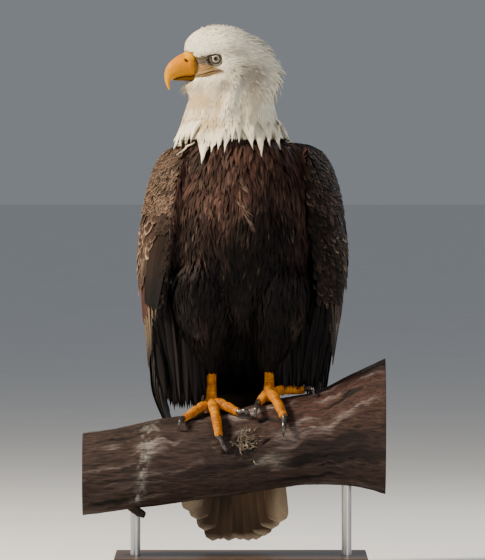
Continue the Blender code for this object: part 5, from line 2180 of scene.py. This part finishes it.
def make_tarsus(side, look):
    """The bare shank with broad plates down its front, and the ball of the foot."""
    x, wrap, height = PAD[side]
    sole, pad = on_branch(x, wrap, WOOD_CLEARANCE), on_branch(x, wrap, height)
    ankle = np.array(ANKLE[side])
    points, radii = [], []
    for share, radius in ((0.0, 1.0), (0.4, 0.95), (0.72, 1.0), (0.9, 1.2)):
        points.append(ankle + (pad - ankle) * share)
        radii.append(TARSUS_RADIUS * radius)
    for share, radius in ((0.0, 1.0), (0.4, 0.97), (0.75, 0.8), (1.0, 0.5)):
        points.append(pad + (sole - pad) * share)
        radii.append(PAD_RADIUS * radius)
    key = np.concatenate([[0], np.cumsum(np.linalg.norm(np.diff(points, axis=0), axis=1))])
    row = eased(key, (points, radii), 90)
    make_scaly(f"foot_{side}", row, row[:, 3], 36, (0.0, -1.0, 0.0), 17, look)


def make_feet():
    skin, horn = foot_look(), claw_look()
    for side, digits in DIGITS.items():
        make_tarsus(side, skin)
        for digit in digits:
            make_toe(side, digit, skin)
            make_claw(side, digit, horn)


# ---------------------------------------------------------------- branch and stand


# painted shade of the wood's cracks, hollows and knot
WOOD_SHADE = np.array([0.006, 0.004, 0.0035])
WOOD_BROWN = np.array([0.028, 0.0165, 0.0135])
WOOD_RED = np.array([0.046, 0.0195, 0.0140])
WOOD_GREY = np.array([0.140, 0.110, 0.102])
CRUST = np.array([0.21, 0.20, 0.185])
BARE_WOOD = np.array([0.20, 0.175, 0.15])
TORN_WOOD = np.array([0.24, 0.19, 0.14])
TWIG = np.array([0.020, 0.013, 0.010])
KNOT = (0.004, 78)  # x and wrap in degrees of the knot in the branch's front


def make_perch():
    """Weathered wood: ridged along its grain, cracked, with a knot of torn fibres in front; painted
    shade darkens its cracks, hollows and knot, and its top is greyer, partly with a painted
    highlight.
    """
    rings_count, sides = 340, 230
    x = np.linspace(PERCH_STATIONS[0][0], PERCH_STATIONS[-1][0], rings_count)[:, None]
    a = turns(sides)[None, :]
    sin_a, cos_a = np.sin(a), np.cos(a)
    centre_z, half_height, half_depth = columns(PERCH_STATIONS, x)
    flute = 1 + 0.010 * np.sin(5 * a + 9 * x) + 0.007 * np.sin(3 * a - 14 * x)
    round_it = joined(x * 1.6, sin_a * 0.06, cos_a * 0.06)
    drift = clouds(round_it, 0.05, 3)
    knot_x, knot_a = x - KNOT[0], a - math.radians(KNOT[1])
    knot = np.hypot(knot_x, knot_a * 0.06)
    bend = 0.020 * bell(knot / 0.030) * np.sign(knot_a + 1e-9)
    slant = 0.05 * (x + 0.05) + 0.012 * drift
    grain_at = joined(
        x * 0.14, sin_a * 0.06 + bend + slant * cos_a, cos_a * 0.06 + bend - slant * sin_a
    )
    ridges = clouds(grain_at, 0.0085, 17, 4)
    bands = clouds(grain_at * (0.8, 1.0, 1.0), 0.016, 23, 3)
    cracks = smooth(clouds(grain_at, 0.011, 29, 3), 0.30, 0.52)
    torn = bell(knot / 0.017)
    lift = 0.0012 * drift + 0.0014 * ridges + 0.0010 * bands - 0.0032 * cracks
    lift = lift + 0.0022 * bell((knot - 0.015) / 0.006)
    lift = lift - (0.0035 + 0.003 * clouds(round_it, 0.006, 33)) * torn
    y = -(half_depth * flute + lift) * sin_a
    z = centre_z + (half_height * flute + lift) * cos_a
    look = Look("weathered_wood", 0.75, Specular_IOR_Level=0.2)
    fine = look.grain((45.0, 420.0, 420.0), 6.0, 0.65, 0.4)
    look.worn(look.attribute("tint", "Color"), fine, (0.34, 0.28), (0.68, 1.9))
    look.bump(fine, 0.8, 0.0012)
    obj = loft("perch_wood", joined(x, y, z), look.material, "branch", ("perch",))
    # the upper side is redder and greyer: the grey is partly weathering and partly a painted
    # highlight
    top_wear_and_light = smooth(cos_a, -0.35, 0.75) + 0 * x
    colour = blend(WOOD_BROWN, WOOD_RED, smooth(x, -0.06, 0.10) * top_wear_and_light * 0.8)
    worn = smooth(ridges + bands, 0.15, 0.70)
    colour = blend(colour, WOOD_GREY, (0.35 + 0.65 * top_wear_and_light) * worn * 0.9)
    # painted shade: the hollows between the bands, the cracks and the torn knot are darkened
    hollow_shade = smooth(-bands, 0.05, 0.55) * 0.75
    colour = blend(colour, WOOD_SHADE, np.clip(hollow_shade + cracks, 0, 1))
    colour = blend(colour, WOOD_SHADE, 0.6 * torn)
    edge = -0.136 + 0.006 * drift + 0.012 * (cos_a - 0.2)
    crust = bell((x - edge) / (0.0055 + 0.0045 * top_wear_and_light)) * smooth(sin_a, 0.1, 0.5)
    crust = crust * smooth(clouds(round_it, 0.009, 35) + 0.5 * ridges, -0.30, 0.45)
    colour = blend(colour, CRUST, 0.80 * crust)
    patch = bell((x - 0.040) / 0.020, (a - math.radians(112)) / 0.20)
    colour = blend(colour, BARE_WOOD, patch * smooth(ridges, -0.1, 0.4) * 0.8)
    set_colours(obj.data, "tint", colour)
    make_splinters(look.material)
    make_twig_stub(look.material)


def make_splinters(material):
    """Pale torn fibres that stand out of the knot."""
    rng = seeded(88)
    lots, rings, sides = 90, 7, 5
    x = rng.normal(KNOT[0], 0.009, lots)
    wrap = rng.normal(KNOT[1], 9, lots)
    root = on_branch(x, wrap, -0.004)
    out = unit(root - on_branch(x, wrap, -0.02))
    aim = joined(rng.normal(0.25, 0.55, lots), 0 * x, rng.normal(0.1, 0.5, lots))
    aim = unit(aim + out * rng.uniform(0.25, 0.9, (lots, 1)))
    length = rng.uniform(0.006, 0.017, lots)
    droop = rng.normal(0, 0.25, (lots, 3))
    centre, normals = strands(root, aim, length, droop, rings)
    tangent = unit(np.gradient(centre, axis=1))
    side = np.cross(normals, tangent)
    turn = turns(sides)
    girth = rng.uniform(0.0004, 0.0011, (lots, 1)) * (1 - np.linspace(0, 0.85, rings))
    circle = side[:, :, None] * np.cos(turn)[:, None] + normals[:, :, None] * np.sin(turn)[:, None]
    points = centre[:, :, None] + circle * girth[:, :, None, None]
    mesh = mesh_from("perch_splinters", points.reshape(-1, 3), tube_faces(lots, rings, sides))
    outward_faces(mesh)
    shade = rng.uniform(0.4, 1.3, (lots, 1, 1, 1)) * np.ones((lots, rings, sides, 1))
    set_colours(mesh, "tint", TORN_WOOD * shade)
    new_object("perch_splinters", mesh, material, "branch")


def make_twig_stub(material):
    """The stump of a broken twig under the branch."""
    path = np.array(
        [(-0.1600, -0.012, 0.0960), (-0.1520, -0.014, 0.0860), (-0.1440, -0.017, 0.0795),
         (-0.1370, -0.020, 0.0765)]
    )
    row = eased(np.arange(4), (path, (0.0085, 0.0070, 0.0060, 0.0046)), 40)
    rings, _ = sweep(row[:, :3], row[:, 3], 28)
    bumps = clouds(rings, 0.006, 51)[..., None]
    rings = rings + unit(rings - row[:, None, :3]) * 0.0012 * bumps
    obj = loft("perch_twig_stub", rings, material, "branch")
    # painted shade: the stub is lighter on its bumps and darker between them
    set_colours(obj.data, "tint", TWIG * (1 + 0.5 * bumps))


def make_stand():
    """The plain board and its two rods keep the solids' shape, in walnut and brushed steel."""
    board = Look("stand_board", 0.38, Coat_Weight=0.25, Coat_Roughness=0.2)
    place = board.place()
    warp = board.noise(board.scaled(place, (3.0, 18.0, 18.0)), 1.0, 3.0)
    bent = board.node("ShaderNodeVectorMath", {0: place, 1: warp}, operation="ADD").outputs[0]
    rings = board.noise(board.scaled(bent, (5.0, 90.0, 40.0)), 1.0, 6.0, 0.6, 0.3)
    pores = board.noise(board.scaled(place, (60.0, 900.0, 900.0)), 1.0, 3.0)
    wood = board.ramp(
        rings,
        (0.25, (0.030, 0.016, 0.009)),
        (0.55, (0.085, 0.045, 0.024)),
        (0.8, (0.14, 0.080, 0.045)),
    )
    board.worn(wood, pores, (0.3, 0.75), (0.6, 1.05))
    board.bump(pores, 0.15, 0.0002)
    steel = Look("stand_steel", 0.34, Metallic=1.0)
    brushed = steel.grain((3000.0, 3000.0, 40.0), 2.0)
    steel.colour(steel.ramp(brushed, (0.3, (0.42, 0.42, 0.43)), (0.7, (0.60, 0.60, 0.61))))
    steel.rough(steel.ramp(brushed, (0.3, 0.28), (0.7, 0.42)))
    for name, look, slot in (
        ("stand_base", board, "stand_base"),
        ("stand_rod_left", steel, "stand_rod"),
        ("stand_rod_right", steel, "stand_rod"),
    ):
        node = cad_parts[name]
        node.data.materials.clear()
        node.data.materials.append(look.material)
        node["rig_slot"] = slot


# ---------------------------------------------------------------- camera, light and floor


def make_camera():
    """Level with the bird's breast and far off, with the photograph's framing."""
    distance, height, aim_z, shown_height, centre_x = 12.0, 0.62, 0.4097, 0.7952, 0.0021
    data = bpy.data.cameras.new("camera")
    data.sensor_width = 36.0
    data.lens = data.sensor_width * distance / shown_height
    data.clip_start, data.clip_end = 0.1, 200.0
    camera = bpy.data.objects.new("camera", data)
    bpy.context.scene.collection.objects.link(camera)
    camera.location = (centre_x, -distance, height)
    aim = Vector((centre_x, 0.0, aim_z)) - camera.location
    camera.rotation_euler = aim.to_track_quat("-Z", "Y").to_euler()
    bpy.context.scene.camera = camera


# name, place, size, power and colour; all look at the bird's breast
LIGHTS = (
    ("key", (-2.7, -0.9, 2.6), 0.8, 330.0, (1.0, 0.88, 0.70)),
    ("fill", (1.3, -3.1, 1.1), 2.4, 34.0, (0.95, 0.97, 1.0)),
    ("rim", (1.7, 1.6, 1.5), 1.0, 18.0, (0.86, 0.92, 1.0)),
)
LIT = Vector((0.0, 0.0, 0.45))


def area_light(name, place, size, power, colour):
    data = bpy.data.lights.new(name, "AREA")
    data.shape = "DISK"
    data.size, data.energy, data.color = size, power, colour
    light = bpy.data.objects.new(name, data)
    bpy.context.scene.collection.objects.link(light)
    light.location = place
    light.rotation_euler = (LIT - Vector(place)).to_track_quat("-Z", "Y").to_euler()


def make_stage():
    world = bpy.data.worlds.new("studio")
    bpy.context.scene.world = world
    world.use_nodes = True
    world.node_tree.nodes["Background"].inputs["Color"].default_value = (0.80, 0.86, 0.94, 1)
    world.node_tree.nodes["Background"].inputs["Strength"].default_value = 0.25
    for light in LIGHTS:
        area_light(*light)
    bpy.ops.mesh.primitive_plane_add(size=120.0, location=(0, 0, -0.0002))
    floor = bpy.context.object
    floor.name = "floor"
    look = Look("floor_paint", 0.8)
    mottle = look.noise(look.place(), 3.0, 2.0)
    look.colour(look.ramp(mottle, (0.3, (0.83, 0.83, 0.825)), (0.7, (0.86, 0.86, 0.855))))
    floor.data.materials.append(look.material)
    floor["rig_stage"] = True


# ---------------------------------------------------------------- the whole bird


def main():
    make_camera()
    make_stage()
    make_stand()
    make_perch()
    make_feet()
    make_bill()
    envelope = make_envelope()
    surface = Surface(envelope)
    bare = skin_look()
    make_skin(envelope, bare)
    for side, name in ((1, "left"), (-1, "right")):
        make_eye(side, name)
        make_lids(side, name)
        make_gape(surface, side, name, bare)
    matt = {"Specular_IOR_Level": 0.10}
    down = feather_look("head_barbs", 99, 0.0005, 0.70, 0.10, 0.0002, Subsurface_Weight=0.1, **matt)
    loose = feather_look("body_barbs", 1.6, 0.0011, 0.65, 0.45, 0.0004, **matt)
    vane = feather_look("flight_barbs", 1.1, 0.0010, 0.48, 0.30, 0.0002, Specular_IOR_Level=0.12)
    make_head_feathers(surface, down)
    make_bristles(surface, down)
    make_neck_hackles(surface, down)
    make_body_feathers(surface, loose)
    make_coverts(loose)
    make_scapulars(loose)
    quills = make_flight_feathers(vane)
    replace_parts(quills[0], "primaries_left", "primaries_right")
    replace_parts(make_tail(vane)[0], "tail")
    make_tail_coverts(down)


def write_sizes():
    boxes = {"cad": CAD_BOX, "visual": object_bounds()}
    {k: [list(corner) for corner in v] for k, v in boxes.items()}


main()
write_sizes()
